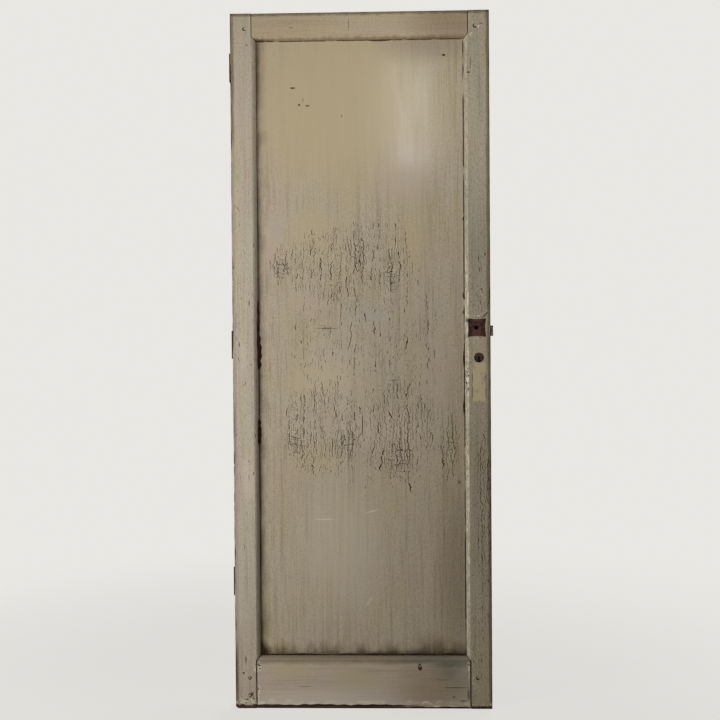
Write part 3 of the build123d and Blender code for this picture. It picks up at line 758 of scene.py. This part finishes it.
        # Painted shadow of the hinge stile's moulding, painted shade with grime at the foot, and painted shade
        # under the top rail.
        shade_and_dirt_films = ((from_left, 75.0, 0.5), (from_left, 24.0, 0.4), (rise, 95.0, 0.95), (drop, 10.0, 0.3))
        for distance, reach, strength in shade_and_dirt_films:
            spread = finish.wavered(distance, uneven, reach)
            finish.shade(finish.step(spread, reach, reach * 0.3, strength), self.painted_shade_and_dirt)
        # Painted shade along the panel's foot, in the crease with the bottom rail.
        foot = finish.wavered(rise, uneven, -self.foot_rag)
        finish.lay(finish.step(foot, -2.0, -8.0, 0.85), self.dark_wood_and_shade, self.dry_rough)
        # Painted shade in the creases where the panel meets the moulding, over the narrow gap there.
        breaks = finish.step(finish.mottle(*self.seam_size, 2.0, 3.9), 0.3, 0.5, 0.9)
        gaps = ((from_left, 2.0), (from_right, 4.4), (drop, 2.6), (rise, 2.6))
        seams = [finish.step(gap, width, width * 0.55) for gap, width in gaps]
        finish.lay(finish.both(finish.either(seams), breaks), self.dark_wood_and_shade, self.dry_rough)
        # Painted shade in the foot's crease and in its bottom left corner.
        rags = finish.ragged(self.foot_rag, self.foot_reach)
        finish.lay(finish.spots(self.dark_foot, rags), self.dark_wood_and_shade, self.dry_rough)


@dataclass(frozen=True)
class StilePaint(OilPaint):
    """A stile's paint: worn arrises, a dark open joint at each rail, and a bare foot."""

    name: str = "oil_paint_brushed_on_stile"
    foot_height: float = 17.0
    foot_rub_size: Size = (13.0, 13.0)
    shoulder_widths: Size = (1.4, 2.0)
    nicks: Spots = ()
    dirty_edges: Spots = ()
    cracked: Spots = ()

    def dress(self) -> Material:
        """Build the stile's material.

        Returns:
            The material.
        """
        finish = self.ground()
        self.patches(finish)
        self.crackle(finish, finish.on_face(finish.spots(self.cracked)), self.cracks)
        self.flake(finish)
        self.own_marks(finish)
        self.joints(finish)
        self.worn_edges(finish, finish.spots(self.dirty_edges))
        self.worn_top(finish)
        self.bare_foot(finish)
        self.nicked(finish, self.nicks)
        return self.finished(finish)

    def patches(self, finish: Finish) -> None:
        """Patches of another colour below the cracks, if the stile has any."""

    def own_marks(self, finish: Finish) -> None:
        """Marks over the cracks that only this stile has, if any."""

    def joints(self, finish: Finish) -> None:
        """Darken the joints: level with the shoulders, then along the mitres of the moulding.

        Args:
            finish: The finish that gets them.
        """
        leaf = self.leaf
        past = finish.beyond(finish.side_x, leaf.shoulder_x)
        moulded = finish.step(past, 0.5, -0.5)
        above = finish.beyond(finish.z, leaf.sight_high + leaf.moulding)
        below = finish.beyond(leaf.sight_low - leaf.moulding, finish.z)
        lines = []
        for outward, width in zip((above, below), self.shoulder_widths):
            shoulder = finish.step(past, width, width * 0.4)
            lines.append(finish.both(finish.step(outward, -1.0, 0.0), shoulder))
            mitre = finish.step(finish.apart(past, outward), width + 0.8, width * 0.5)
            lines.append(finish.both(moulded, mitre))
        self.bare(finish, finish.either(lines))

    def bare_foot(self, finish: Finish) -> None:
        """Knock and rot the paint off the bottom end, with chipped undercoat above.

        Args:
            finish: The finish that loses its paint.
        """
        rub = finish.mottle(*self.foot_rub_size, 3.0, 4.9)
        foot = finish.wavered(finish.z, rub, -self.foot_height)
        chips = finish.both(finish.step(foot, 16.0, 2.0, 0.8), finish.step(rub, 0.5, 0.6))
        finish.lay(chips, self.undercoat_and_highlight)
        self.bare(finish, finish.step(foot, 5.0, 1.0))


@dataclass(frozen=True)
class HingeStilePaint(StilePaint):
    """The hinge stile's paint: paler in two places, and dirty along its outer edge."""

    patch_rag: float = 30.0
    patch_reach: float = 12.0
    pale_patches: Spots = (
        Spot(-327, 657, 24, 120, 0.9, 0.3),
        Spot(-340, 1010, 20, 90, 0.9, 0.2),
    )
    cracked: Spots = (Spot(-335, 1000, 60, 1000, 0.5, 0.3),)
    flecked: Spots = (
        Spot(-318, 30, 18, 30, 0.7, 0.95),
        Spot(-340, 20, 40, 26, 0.7, 0.9),
        Spot(-312, 120, 10, 40, 0.7, 0.88),
        Spot(-325, 1940, 16, 16, 0.7, 0.85),
    )
    dirty_edges: Spots = (
        Spot(-367, 1800, 30, 270, 0.5),
        Spot(-367, 790, 30, 150, 0.6, 0.7),
        Spot(-367, 70, 30, 170, 0.5),
        Spot(-367, 900, 30, 1000, 0.2, 0.4),
    )
    nicks: Spots = (
        Spot(-320, 1896, 2.4, 4, 0.7),
        Spot(-319, 1163, 2.4, 14, 0.7, 0.8),
        Spot(-314, 987, 3.5, 3.5, 0.7, 0.6),
        Spot(-344, 102, 4.5, 3.5, 0.7),
        Spot(-337, 139, 2.2, 17, 0.7),
        Spot(-319, 41, 6, 9, 0.6, 0.8),
        Spot(-367, 95, 8, 115, 0.7, 0.75),
    )

    def patches(self, finish: Finish) -> None:
        """Places where the top coat is rubbed thin, over a pale undercoat."""
        pale = finish.spots(self.pale_patches, finish.ragged(self.patch_rag, self.patch_reach))
        finish.lay(finish.on_face(pale), self.undercoat_and_highlight)


@dataclass(frozen=True)
class LockStilePaint(StilePaint):
    """The lock stile's paint: greener, with the bare beds and pale ghost of the lost fittings."""

    name: str = "oil_paint_brushed_on_lock_stile"
    coat: Colour = srgb("#A69B89")
    yellowed: Colour = srgb("#A39880")
    faded: Colour = srgb("#979381")
    bed_wood: Colour = srgb("#4C3229")
    bed_dark: Colour = srgb("#2C1B13")
    rust: Colour = srgb("#613B35")
    ghost: Colour = srgb("#BAAA88")
    speckle: float = 0.8
    foot_height: float = 9.0
    ghost_half_x: float = 18.0
    ghost_low: float = 879.0
    ghost_middle: float = 988.0
    ghost_high: float = 1061.0
    bed_left: float = 304.0
    bed_right: float = 356.0
    bed_half_z: float = 26.5
    disc_radius: float = 15.0
    rim_width: float = 2.0
    flake_rise: float = 0.3
    flake_size: Size = (5.0, 17.0)
    chip_size: Size = (6.0, 12.0)
    smudge_size: Size = (24.0, 24.0)
    rim_size: Size = (20.0, 40.0)
    blotch_size: Size = (11.0, 11.0)
    rust_size: Size = (9.0, 14.0)
    corner_rag: float = 8.0
    corner_reach: float = 4.0
    cracked: Spots = (
        Spot(345, 560, 50, 420, 0.7, 0.53),
        Spot(335, 1150, 60, 330, 0.7, 0.4),
        Spot(335, 200, 60, 300, 0.7, 0.4),
    )
    flecked: Spots = (
        Spot(333, 1938, 18, 16, 0.7, 0.95),
        Spot(316, 1918, 12, 14, 0.7, 0.87),
        Spot(330, 1058, 26, 7, 0.7, 0.92),
        Spot(330, 1120, 26, 8, 0.7, 0.88),
        Spot(316, 80, 14, 90, 0.8, 0.8),
    )
    flaked: Spots = (
        Spot(300, 938, 40, 60, 0.5),
        Spot(300, 1050, 40, 330, 0.6, 0.7),
        Spot(300, 480, 40, 420, 0.5, 0.5),
        Spot(300, 1700, 40, 450, 0.5, 0.25),
    )
    dark_corners: Spots = (
        Spot(307, 1108, 14, 12, 0.8),
        Spot(353, 1109, 12, 10, 0.8),
        Spot(308, 1066, 12, 9, 0.8, 0.8),
        Spot(352, 1070, 9, 12, 0.8, 0.7),
    )
    dirty_edges: Spots = (Spot(367, 900, 40, 1500, 0.3),)
    nicks: Spots = (
        Spot(345, 1947, 9, 1.8, 0.7, 0.8),
        Spot(308, 1810, 6.5, 3.5, 0.7),
        Spot(315, 1837, 2.2, 22, 0.7, 0.6),
        Spot(353, 1296, 4, 7, 0.7, 0.7),
        Spot(352, 1123, 2.6, 11, 0.6, 1, 0.8),
        Spot(357.5, 1130, 3.2, 3.2, 0.6, 0.8),
    )

    def own_marks(self, finish: Finish) -> None:
        """Flaked moulding, and what the lost fittings left.

        Args:
            finish: The finish that gets them.
        """
        self.flaked_moulding(finish)
        self.plate_ghost(finish)
        self.fitting_beds(finish)

    def flaked_moulding(self, finish: Finish) -> None:
        """Pale undercoat and dark chips along the moulding, where the paint has flaked.

        Args:
            finish: The finish that is flaked.
        """
        shoulder = self.leaf.shoulder_x
        edge = finish.on_face(finish.step(finish.x, shoulder, shoulder - 2.0))
        flaked = finish.spots(self.flaked)
        flakes = finish.step(finish.mottle(*self.flake_size, 3.0, 2.2), 0.5, 0.58)
        pale = finish.both(flaked, flakes)
        finish.lay(finish.both(edge, pale), self.undercoat_and_highlight, None, self.flake_rise)
        worst = finish.both(edge, finish.step(flaked, 0.7, 0.85))
        chips = finish.step(finish.mottle(*self.chip_size, 3.0, 7.7), 0.58, 0.63)
        self.bare(finish, finish.both(worst, chips))

    def plate_ghost(self, finish: Finish) -> None:
        """Pale paint that the long plate kept clean, with dirt at its rim.

        Args:
            finish: The finish that gets it.
        """
        half = self.ghost_half_x
        off_key = finish.apart(finish.x, self.leaf.key_x)
        narrow = finish.step(off_key, half + 1, half)
        smudge = finish.mottle(*self.smudge_size, 3.0, 1.3)
        stretches = (
            (self.ghost_low, self.ghost_middle, 0.95),
            (self.ghost_middle, self.ghost_high, 0.3),
        )
        for low, high, strength in stretches:
            tall = finish.on_face(finish.band(finish.z, low, high, 2.0))
            plate = finish.both(finish.both(tall, narrow), finish.step(smudge, 0.25, 0.5, strength))
            finish.lay(plate, self.ghost)
        tall = finish.on_face(finish.band(finish.z, self.ghost_low + 4, self.ghost_middle - 30, 6.0))
        rim = finish.band(off_key, half, half + self.rim_width, self.rim_width / 2)
        gaps = finish.step(finish.mottle(*self.rim_size, 2.0, 3.1), 0.4, 0.5, 0.8)
        finish.lay(finish.both(tall, finish.both(rim, gaps)), self.wood, self.dry_rough)

    def fitting_beds(self, finish: Finish) -> None:
        """Bare, stained wood where the rose and the escutcheon sat.

        Args:
            finish: The finish that gets them.
        """
        leaf = self.leaf
        wide = finish.band(finish.x, self.bed_left, self.bed_right, 0.4)
        low, high = leaf.spindle_z - self.bed_half_z, leaf.spindle_z + self.bed_half_z
        bed = finish.both(wide, finish.band(finish.z, low, high, 0.4))
        disc = finish.spots([Spot(leaf.key_x, leaf.key_z, self.disc_radius, self.disc_radius, 0.02)])
        sunk = finish.on_face(finish.sunk(leaf.half_thickness, 0.3, 0.7))
        blotches = finish.step(finish.mottle(*self.blotch_size, 3.0, 1.9), 0.38, 0.62)
        stained = add(finish.tree, Kind.MIX, blotches, self.bed_dark, self.bed_wood, data_type="RGBA")
        finish.lay(finish.both(sunk, finish.either([bed, disc])), stained, self.dry_rough)
        middle = finish.step(finish.apart(finish.x, leaf.spindle_x), 22.0, 8.0)
        rusty = finish.both(finish.mottle(*self.rust_size, 2.0, 2.7), middle)
        finish.lay(finish.both(finish.both(sunk, bed), finish.step(rusty, 0.3, 0.6, 0.7)), self.rust)
        corners = finish.spots(self.dark_corners, finish.ragged(self.corner_rag, self.corner_reach))
        finish.lay(finish.both(sunk, corners), self.bed_dark)


@dataclass(frozen=True)
class RailPaint(OilPaint):
    """A rail's paint: level brush streaks, and dark open joints at its shoulders."""

    name: str = "oil_paint_brushed_on_rail"
    grain: Grain = Grain.LEVEL
    # Tint of the painted shade at a rail's end by the lock stile, where less light falls.
    painted_shade_tint: Colour = srgb("#D5CCC2")
    streaks: float = 0.35
    joint_width: float = 1.4
    nicks: Spots = ()

    def dress(self) -> Material:
        """Build the rail's material.

        Returns:
            The material.
        """
        finish = self.ground()
        self.own_marks(finish)
        inward = finish.beyond(self.leaf.shoulder_x, finish.side_x)
        self.bare(finish, finish.step(inward, self.joint_width, self.joint_width - 0.4))
        self.nicked(finish, self.nicks)
        self.last_chips(finish)
        return self.finished(finish)

    def own_marks(self, finish: Finish) -> None:
        """Marks that only this rail has, if any."""

    def last_chips(self, finish: Finish) -> None:
        """Pale chips over the nicks, if the rail has any."""


@dataclass(frozen=True)
class TopRailPaint(RailPaint):
    """The top rail's paint: yellow, dirty along the leaf's top, drips and painted shade above the panel, painted
    shade at the lock end.
    """

    name: str = "oil_paint_brushed_on_top_rail"
    coat: Colour = srgb("#A99A80")
    yellowed: Colour = srgb("#A8997A")
    faded: Colour = srgb("#A59483")
    # Drips, and painted shade on the moulding's downward face above the panel.
    drip_dirt_and_shade: Colour = srgb("#85745A")
    blush_share: float = 0.3
    speckle: float = 0.4
    drip_size: Size = (38.0, 14.0)
    drip_reach: float = 16.0
    # Painted shade on the end by the lock stile.
    painted_shade: Spot = Spot(250, 1950, 170, 90, 0.9, 0.8)
    # Where the drips and painted shade lie, darkest in the corner by the hinge stile.
    grimy_and_shaded: Spots = (
        Spot(-290, 1910, 90, 40, 0.9),
        Spot(0, 1910, 400, 40, 0.5, 0.5),
    )
    nicks: Spots = (
        Spot(-29.5, 1950, 2.2, 24, 0.7, 0.5),
        Spot(-193, 1943, 8, 3, 0.7, 0.5),
    )

    def own_marks(self, finish: Finish) -> None:
        """Dirt along the top of the leaf, drips and painted shade on the moulding above the panel, and painted
        shade on the end by the lock stile.

        Args:
            finish: The finish that gets them.
        """
        # Painted shade on the end by the lock stile.
        finish.shade(finish.on_face(finish.spots([self.painted_shade])), self.painted_shade_tint)
        rise = finish.beyond(finish.z, self.leaf.sight_high)
        # Drips and painted shade on the moulding above the panel.
        drips = finish.wavered(rise, finish.mottle(*self.drip_size, 4.0, 5.8), -self.drip_reach)
        dirt_and_painted_shade = finish.both(finish.step(drips, 2.0, -8.0), finish.spots(self.grimy_and_shaded))
        finish.shade(finish.on_face(dirt_and_painted_shade), self.drip_dirt_and_shade)
        self.worn_top(finish)


@dataclass(frozen=True)
class BottomRailPaint(RailPaint):
    """The bottom rail's paint: a green stain, dirt and painted shade on the moulding, painted shade at the lock
    end, and paint splintered off along its foot.
    """

    name: str = "oil_paint_brushed_on_bottom_rail"
    coat: Colour = srgb("#B3A695")
    yellowed: Colour = srgb("#B0A38E")
    faded: Colour = srgb("#AD9D90")
    yellow: Colour = srgb("#AC9F80")
    pale: Colour = srgb("#BDB1A4")
    # Dirt and painted shade on the moulding, along the crease under the panel.
    grime_and_shade: Colour = srgb("#8A7D6B")
    stain: Colour = srgb("#6C6B5B")
    speckle: float = 0.3
    joint_width: float = 2.6
    patch_rag: float = 30.0
    patch_reach: float = 10.0
    dirt_and_shade_size: Size = (20.0, 60.0)
    dirt_and_shade_rag: float = 14.0
    splinter_size: Size = (12.0, 40.0)
    splinter_rag: float = 12.0
    splinter_height: float = 15.0
    splinter_fade: Size = (190.0, 90.0)
    flake_size: Size = (12.0, 26.0)
    pale_foot: Spot = Spot(-90, 10, 330, 75, 0.9)
    # Painted shade on the end by the lock stile.
    painted_shade: Spot = Spot(190, 60, 150, 130, 0.9, 0.75)
    yellow_patches: Spots = (
        Spot(-205, 112, 90, 40, 0.9, 0.8),
        Spot(-30, 85, 90, 55, 0.9, 0.8),
        Spot(-100, 60, 60, 30, 0.9, 0.5),
    )
    stains: Spots = (
        Spot(245, 128, 85, 26, 0.9),
        Spot(180, 140, 150, 17, 0.9, 0.85),
        Spot(250, 105, 70, 48, 1, 0.65),
        Spot(270, 80, 80, 90, 1, 0.4),
    )
    flecked: Spots = (
        Spot(-300, 118, 14, 34, 0.7, 0.97),
        Spot(-302, 50, 12, 50, 0.7, 0.88),
        Spot(300, 110, 12, 60, 0.7, 0.9),
    )
    nicks: Spots = (
        Spot(162, 118, 7, 11, 0.4),
        Spot(-168, 63, 28, 1.6, 0.7, 0.5),
        Spot(225, 83, 36, 1.6, 0.7, 0.45),
        Spot(264, 60.5, 48, 1.7, 0.6, 0.75),
        Spot(258, 34, 6, 3, 0.7, 0.7),
        Spot(300, 40, 6, 26, 0.8, 0.6),
        Spot(285, 22, 14, 5, 0.8, 0.6),
    )
    chips: Spots = (
        Spot(161.5, 121, 2.6, 3.4, 0.4),
        Spot(-262, 22, 18, 10, 0.9, 0.6),
        Spot(-214, 22, 16, 9, 0.9, 0.6),
        Spot(-93, 20, 26, 9, 0.9, 0.55),
        Spot(36, 17, 11, 7, 0.9, 0.7),
    )

    def own_marks(self, finish: Finish) -> None:
        """Patches, painted shade at the lock stile end, dirt and painted shade on the moulding, the green stain,
        the bare foot and flaked ends.

        Args:
            finish: The finish that gets them.
        """
        rags = finish.ragged(self.patch_rag, self.patch_reach)
        finish.lay(finish.on_face(finish.spots(self.yellow_patches, rags)), self.yellow)
        finish.lay(finish.on_face(finish.spots([self.pale_foot])), self.pale)
        # Painted shade on the end by the lock stile.
        finish.shade(finish.on_face(finish.spots([self.painted_shade])), self.painted_shade_tint)
        # Dirt and painted shade on the moulding under the panel.
        drop = finish.beyond(self.leaf.sight_low, finish.z)
        dirt_and_painted_shade = finish.wavered(drop, finish.mottle(*self.dirt_and_shade_size, 3.0, 3.3), self.dirt_and_shade_rag)
        finish.shade(finish.on_face(finish.step(dirt_and_painted_shade, 34.0, 16.0, 0.6)), self.grime_and_shade)
        finish.lay(finish.on_face(finish.spots(self.stains, rags)), self.stain)
        self.splintered_foot(finish)
        self.flake(finish)

    def splintered_foot(self, finish: Finish) -> None:
        """Pale flakes above the foot, and bare wood along it.

        Args:
            finish: The finish that loses its paint.
        """
        rags = finish.mottle(*self.splinter_size, 3.0, 4.2)
        foot = finish.wavered(finish.z, rags, -self.splinter_rag)
        finish.lay(finish.step(foot, 22.0, 6.0, 0.3), self.undercoat_and_highlight)
        flakes = finish.step(finish.mottle(*self.flake_size, 3.0, 8.1), 0.54, 0.59, 0.9)
        flakes = finish.both(finish.step(foot, 20.0, 12.0), flakes)
        finish.lay(flakes, self.undercoat_and_highlight, None, self.fleck_rise)
        low = finish.step(finish.z, self.splinter_height, self.splinter_height - 1.0)
        sunk = finish.both(finish.sunk(self.leaf.half_thickness, 0.4, 0.9), low)
        splinters = finish.both(sunk, finish.step(finish.x, *self.splinter_fade))
        self.bare(finish, finish.either([splinters, finish.step(foot, 0.0, -2.5)]))

    def last_chips(self, finish: Finish) -> None:
        """Pale chips in the knot hole's rim and along the foot."""
        rags = finish.ragged(self.nick_rag, self.nick_reach)
        finish.lay(finish.on_face(finish.spots(self.chips, rags)), self.undercoat_and_highlight)


@dataclass(frozen=True)
class OldIron:
    """Old iron or steel, blackened by age and rusted: dark, dull metal with brown matt bloom."""

    name: str = "rolled_iron_rusted"
    metal: Colour = srgb("#4A4642")
    rust: Colour = srgb("#5A3826")
    crust: Colour = srgb("#33201A")
    scuff_tint: Colour = srgb("#A8A29A")
    rough: float = 0.45
    rust_rough: float = 0.85
    rust_share: float = 0.5
    bloom: float = 12.0
    scuff_size: Size = (1.5, 14.0)
    metallic: float = 0.85

    def dress(self) -> Material:
        """Build the metal's material.

        Returns:
            The material.
        """
        finish = Finish(self.name, Grain.UPRIGHT, self.metal, self.rough)
        scuffs = finish.mottle(*self.scuff_size, 2.0, 1.1)
        finish.shade(finish.step(scuffs, 0.4, 0.75, 0.6), self.scuff_tint)
        bloom = finish.mottle(self.bloom, self.bloom, 4.0, 2.3)
        rusty = finish.step(bloom, 0.75 - self.rust_share * 0.5, 0.85 - self.rust_share * 0.5)
        finish.lay(rusty, self.rust, self.rust_rough, 0.08)
        crust = finish.mottle(self.bloom / 3, self.bloom / 3, 4.0, 5.2)
        finish.lay(finish.both(rusty, finish.step(crust, 0.5, 0.62)), self.crust, self.rust_rough, 0.1)
        metallic = add(finish.tree, Kind.RANGE, rusty, 0.0, 1.0, self.metallic, 0.1)
        return finish.close(Metallic=metallic)


@dataclass(frozen=True)
class PegWood:
    """Cleft hardwood pegs under old paint: a painted end with a dark, dry ring where the peg has shrunk."""

    leaf: Leaf
    name: str = "cleft_wood_painted_over"
    coat: Colour = srgb("#A4987F")
    wood: Colour = srgb("#2B1D14")
    fibre_tint: Colour = srgb("#B5A992")
    rough: float = 0.7
    fibre_size: Size = (1.6, 1.6)
    chip_size: Size = (7.0, 7.0)
    hidden_rise: float = 38.0
    painted: tuple[Size, ...] = (
        (-324.5, 1942.0),
        (-327.5, 89.0),
        (-328.0, 37.0),
        (328.5, 1942.5),
        (328.5, 90.0),
    )

    def dress(self) -> Material:
        """Build the pegs' material.

        Returns:
            The material.
        """
        radius = self.leaf.peg_radius
        finish = Finish(self.name, Grain.UPRIGHT, self.coat, self.rough)
        fibres = finish.mottle(*self.fibre_size, 2.0)
        finish.shade(finish.step(fibres, 0.4, 0.7, 0.6), self.fibre_tint)
        ends = [Spot(x, z, radius, radius, 0.5) for x, z in self.painted]
        ends.append(Spot(self.leaf.peg_x, self.hidden_rise, 4 * radius, 4 * radius))
        outside = finish.beyond(1.0, finish.spots(ends))
        gone = finish.wavered(finish.mottle(*self.chip_size, 2.0, 3.3), outside, 1.0)
        finish.lay(finish.step(gone, 0.66, 0.84), self.wood, self.rough, -0.4)
        return finish.close()


@dataclass
class Door:
    """The leaf's finishes, put on the nodes that carry them."""

    leaf: Leaf

    def paint(self) -> dict[str, Material]:
        """Build the paints of the stiles, rails and panel, and the pegs' finish.

        Returns:
            A material for each node.
        """
        return {
            "hinge_stile": HingeStilePaint(self.leaf).dress(),
            "lock_stile": LockStilePaint(self.leaf).dress(),
            "top_rail": TopRailPaint(self.leaf).dress(),
            "bottom_rail": BottomRailPaint(self.leaf).dress(),
            "panel": PanelPaint(self.leaf).dress(),
            "tenon_pegs": PegWood(self.leaf).dress(),
        }

    def ironwork(self) -> dict[str, Material]:
        """Build the finishes of the hinges, screws and lock.

        Returns:
            A material for each node.
        """
        # Rolled iron: black scale with rust in patches.
        hinge = OldIron("rolled_iron_rusted")
        # Drawn steel: rubbed bright by turning, with little rust.
        pin = OldIron("drawn_steel_worn", srgb("#7D7A75"), rough=0.32, rust_share=0.3, bloom=6.0)
        # Turned steel: grey heads with fine rust.
        screw = OldIron("turned_steel_rusted", srgb("#6A645C"), rough=0.4, rust_share=0.55, bloom=3.0)
        # Pressed sheet iron: black, with broad blooms of rust.
        case = OldIron("pressed_iron_blackened", srgb("#3A3633"), rust_share=0.55, bloom=20.0)
        # Cast iron: brown all over.
        follower = OldIron("cast_iron_rusted", rust=srgb("#7A4A36"), rust_share=0.9, bloom=8.0)
        # Rolled and filed iron: greyer, and rubbed.
        forend = OldIron("rolled_iron_filed", srgb("#5B554E"), rough=0.4, rust_share=0.5, bloom=14.0)
        # Forged steel: worn smooth, and browned.
        bolt = OldIron("forged_steel_browned", srgb("#5C564B"), rough=0.45, rust_share=0.6, bloom=7.0)
        # Spring steel: the blue-black of tempering, nearly free of rust.
        spring = OldIron("spring_steel_blued", srgb("#35383F"), rough=0.3, rust_share=0.25, bloom=5.0)
        hinges = [f"{place}_hinge" for place in ("top", "middle", "bottom")]
        irons = {
            hinge: [f"{name}_{side}_leaf" for name in hinges for side in ("door", "frame")],
            pin: [f"{name}_pin" for name in hinges],
            screw: ["hinge_screws", "forend_screws", "forend_rivets", "lock_cover_screws"],
            case: ["lock_case", "lock_cover"],
            follower: ["follower"],
            forend: ["lock_forend"],
            bolt: ["latch_bolt", "dead_bolt"],
            spring: ["latch_spring", "bolt_spring"],
        }
        finishes = {}
        for iron, nodes in irons.items():
            finishes |= dict.fromkeys(nodes, iron.dress())
        return finishes

    def dress(self) -> None:
        """Put every finish on its node."""
        for name, material in {**self.paint(), **self.ironwork()}.items():
            node = frame["nodes"][name]
            node.data.materials.clear()
            node.data.materials.append(material)
            log.info("%s: %s", name, material.name)


@dataclass(frozen=True)
class Lamp:
    """Soft rectangular lamp: its place, its aim, its width and height in metres, and its power in watts."""

    name: str
    place: Place
    aim: Place
    size: Size
    power: float

    def hang(self) -> Object:
        """Put the lamp in the scene.

        Returns:
            The lamp.
        """
        light = bpy.data.lights.new(self.name, "AREA")
        light.shape = "RECTANGLE"
        light.size, light.size_y = self.size
        light.energy = self.power
        lamp = bpy.data.objects.new(self.name, light)
        lamp.location = self.place
        lamp.visible_camera = False
        lamp.rotation_euler = (Vector(self.aim) - Vector(self.place)).to_track_quat("-Z", "Y").to_euler()
        bpy.context.scene.collection.objects.link(lamp)
        return lamp


@dataclass
class Studio:
    """Pale floor, soft light and the camera; places and sizes in metres, angles in degrees."""

    floor_radius: float = 9.0
    floor_sides: int = 96
    floor_glow: float = 0.8
    fade_start: float = 0.6
    fade_end: float = 2.4
    pale: Colour = srgb("#E9E7E3")
    shaded: Colour = srgb("#BDBAB5")
    lamps: tuple[Lamp, ...] = (
        Lamp("key_lamp", (-1.45, -1.0, 0.95), (-0.2, 0.0, 1.1), (0.75, 1.45), 30.5),
        Lamp("window_lamp", (0.167, -0.95, 1.92), (-0.04, 0.0, 1.55), (0.15, 0.39), 5.2),
        Lamp("back_lamp", (0.9, 2.3, 1.7), (0.0, 0.0, 1.0), (1.6, 1.6), 42.0),
        Lamp("side_lamp", (2.6, 0.7, 1.3), (0.3, 0.0, 1.0), (0.9, 1.6), 30.0),
    )
    sky_strength: float = 0.06
    glossy_sky: float = 0.35
    camera_place: Place = (0.072, -2.8, 1.04)
    camera_yaw: float = -1.56
    camera_pitch: float = -0.86
    camera_roll: float = -0.41
    camera_lens: float = 48.83
    camera_sensor: float = 36.0

    def floor(self) -> Object:
        """Lay a round floor that fades into the background.

        Returns:
            The floor.
        """
        radius = self.floor_radius
        turns = (2 * math.pi * side / self.floor_sides for side in range(self.floor_sides))
        rim = [(radius * math.cos(turn), radius * math.sin(turn), 0.0) for turn in turns]
        mesh = bpy.data.meshes.new("floor")
        mesh.from_pydata(rim, [], [list(range(self.floor_sides))])
        floor = bpy.data.objects.new("floor", mesh)
        bpy.context.scene.collection.objects.link(floor)
        # Matt plaster has no sheen: it shows the leaf's soft shadow and pales to the background farther out.
        material = bpy.data.materials.new("matt_plaster_floor")
        material.use_nodes = True
        tree = material.node_tree
        tree.nodes.clear()
        place = add(tree, Kind.COORDINATES, out="Object")
        away = add(tree, Kind.VECTOR, place, out="Value", operation="LENGTH")
        span = (self.fade_start, self.fade_end, self.floor_glow, 1.0)
        fade = add(tree, Kind.RANGE, away, *span, interpolation_type="SMOOTHSTEP")
        seen = add(tree, Kind.RAYS, out="Is Camera Ray")
        fade = add(tree, Kind.MATH, fade, seen, operation="MULTIPLY")
        matt = add(tree, Kind.SURFACE, named={"Base Color": self.shaded, "Roughness": 0.9})
        glow = add(tree, Kind.GLOW, self.pale, 1.0)
        add(tree, Kind.OUTPUT, add(tree, Kind.BLEND, fade, matt, glow))
        mesh.materials.append(material)
        return floor

    def sky(self) -> None:
        """Fill the shadows softly, and show the camera a pale background."""
        world = bpy.data.worlds.new("studio")
        world.use_nodes = True
        tree = world.node_tree
        tree.nodes.clear()
        glossy = add(tree, Kind.RAYS, out="Is Glossy Ray")
        seen = add(tree, Kind.MATH, glossy, self.glossy_sky, operation="MULTIPLY")
        for name in ("Is Camera Ray", "Is Transmission Ray"):
            seen = add(tree, Kind.MATH, seen, add(tree, Kind.RAYS, out=name), operation="MAXIMUM")
        strength = add(tree, Kind.MIX, seen, self.sky_strength, 1.0, data_type="FLOAT")
        add(tree, Kind.SKY_OUTPUT, add(tree, Kind.SKY, self.pale, strength))
        bpy.context.scene.world = world

    def camera(self) -> Object:
        """Set up the camera where the photograph was taken from.

        Returns:
            The camera.
        """
        angles = (self.camera_yaw, self.camera_pitch, self.camera_roll)
        yaw, pitch, roll = (math.radians(angle) for angle in angles)
        ahead = Vector((math.sin(yaw) * math.cos(pitch), math.cos(yaw) * math.cos(pitch), math.sin(pitch)))
        level = Vector((math.cos(yaw), -math.sin(yaw), 0.0))
        upright = level.cross(ahead)
        right = math.cos(roll) * level + math.sin(roll) * upright
        up = math.cos(roll) * upright - math.sin(roll) * level
        data = bpy.data.cameras.new("camera")
        data.lens = self.camera_lens
        data.sensor_width = self.camera_sensor
        camera = bpy.data.objects.new("camera", data)
        turn = Matrix((right, up, -ahead)).transposed().to_4x4()
        camera.matrix_world = Matrix.Translation(self.camera_place) @ turn
        bpy.context.scene.collection.objects.link(camera)
        bpy.context.scene.camera = camera
        return camera

    def build(self) -> None:
        """Set up the floor, the light and the camera."""
        self.floor()
        for lamp in self.lamps:
            lamp.hang()
        self.sky()
        self.camera()
        bpy.context.scene.view_settings.view_transform = "Standard"


def main() -> None:
    """Dress the door and set up the studio."""
    logging.basicConfig(level=logging.INFO, format="%(name)s: %(message)s")
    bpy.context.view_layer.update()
    Door(Leaf.from_frame()).dress()
    Studio().build()


if __name__ == "__main__":
    main()
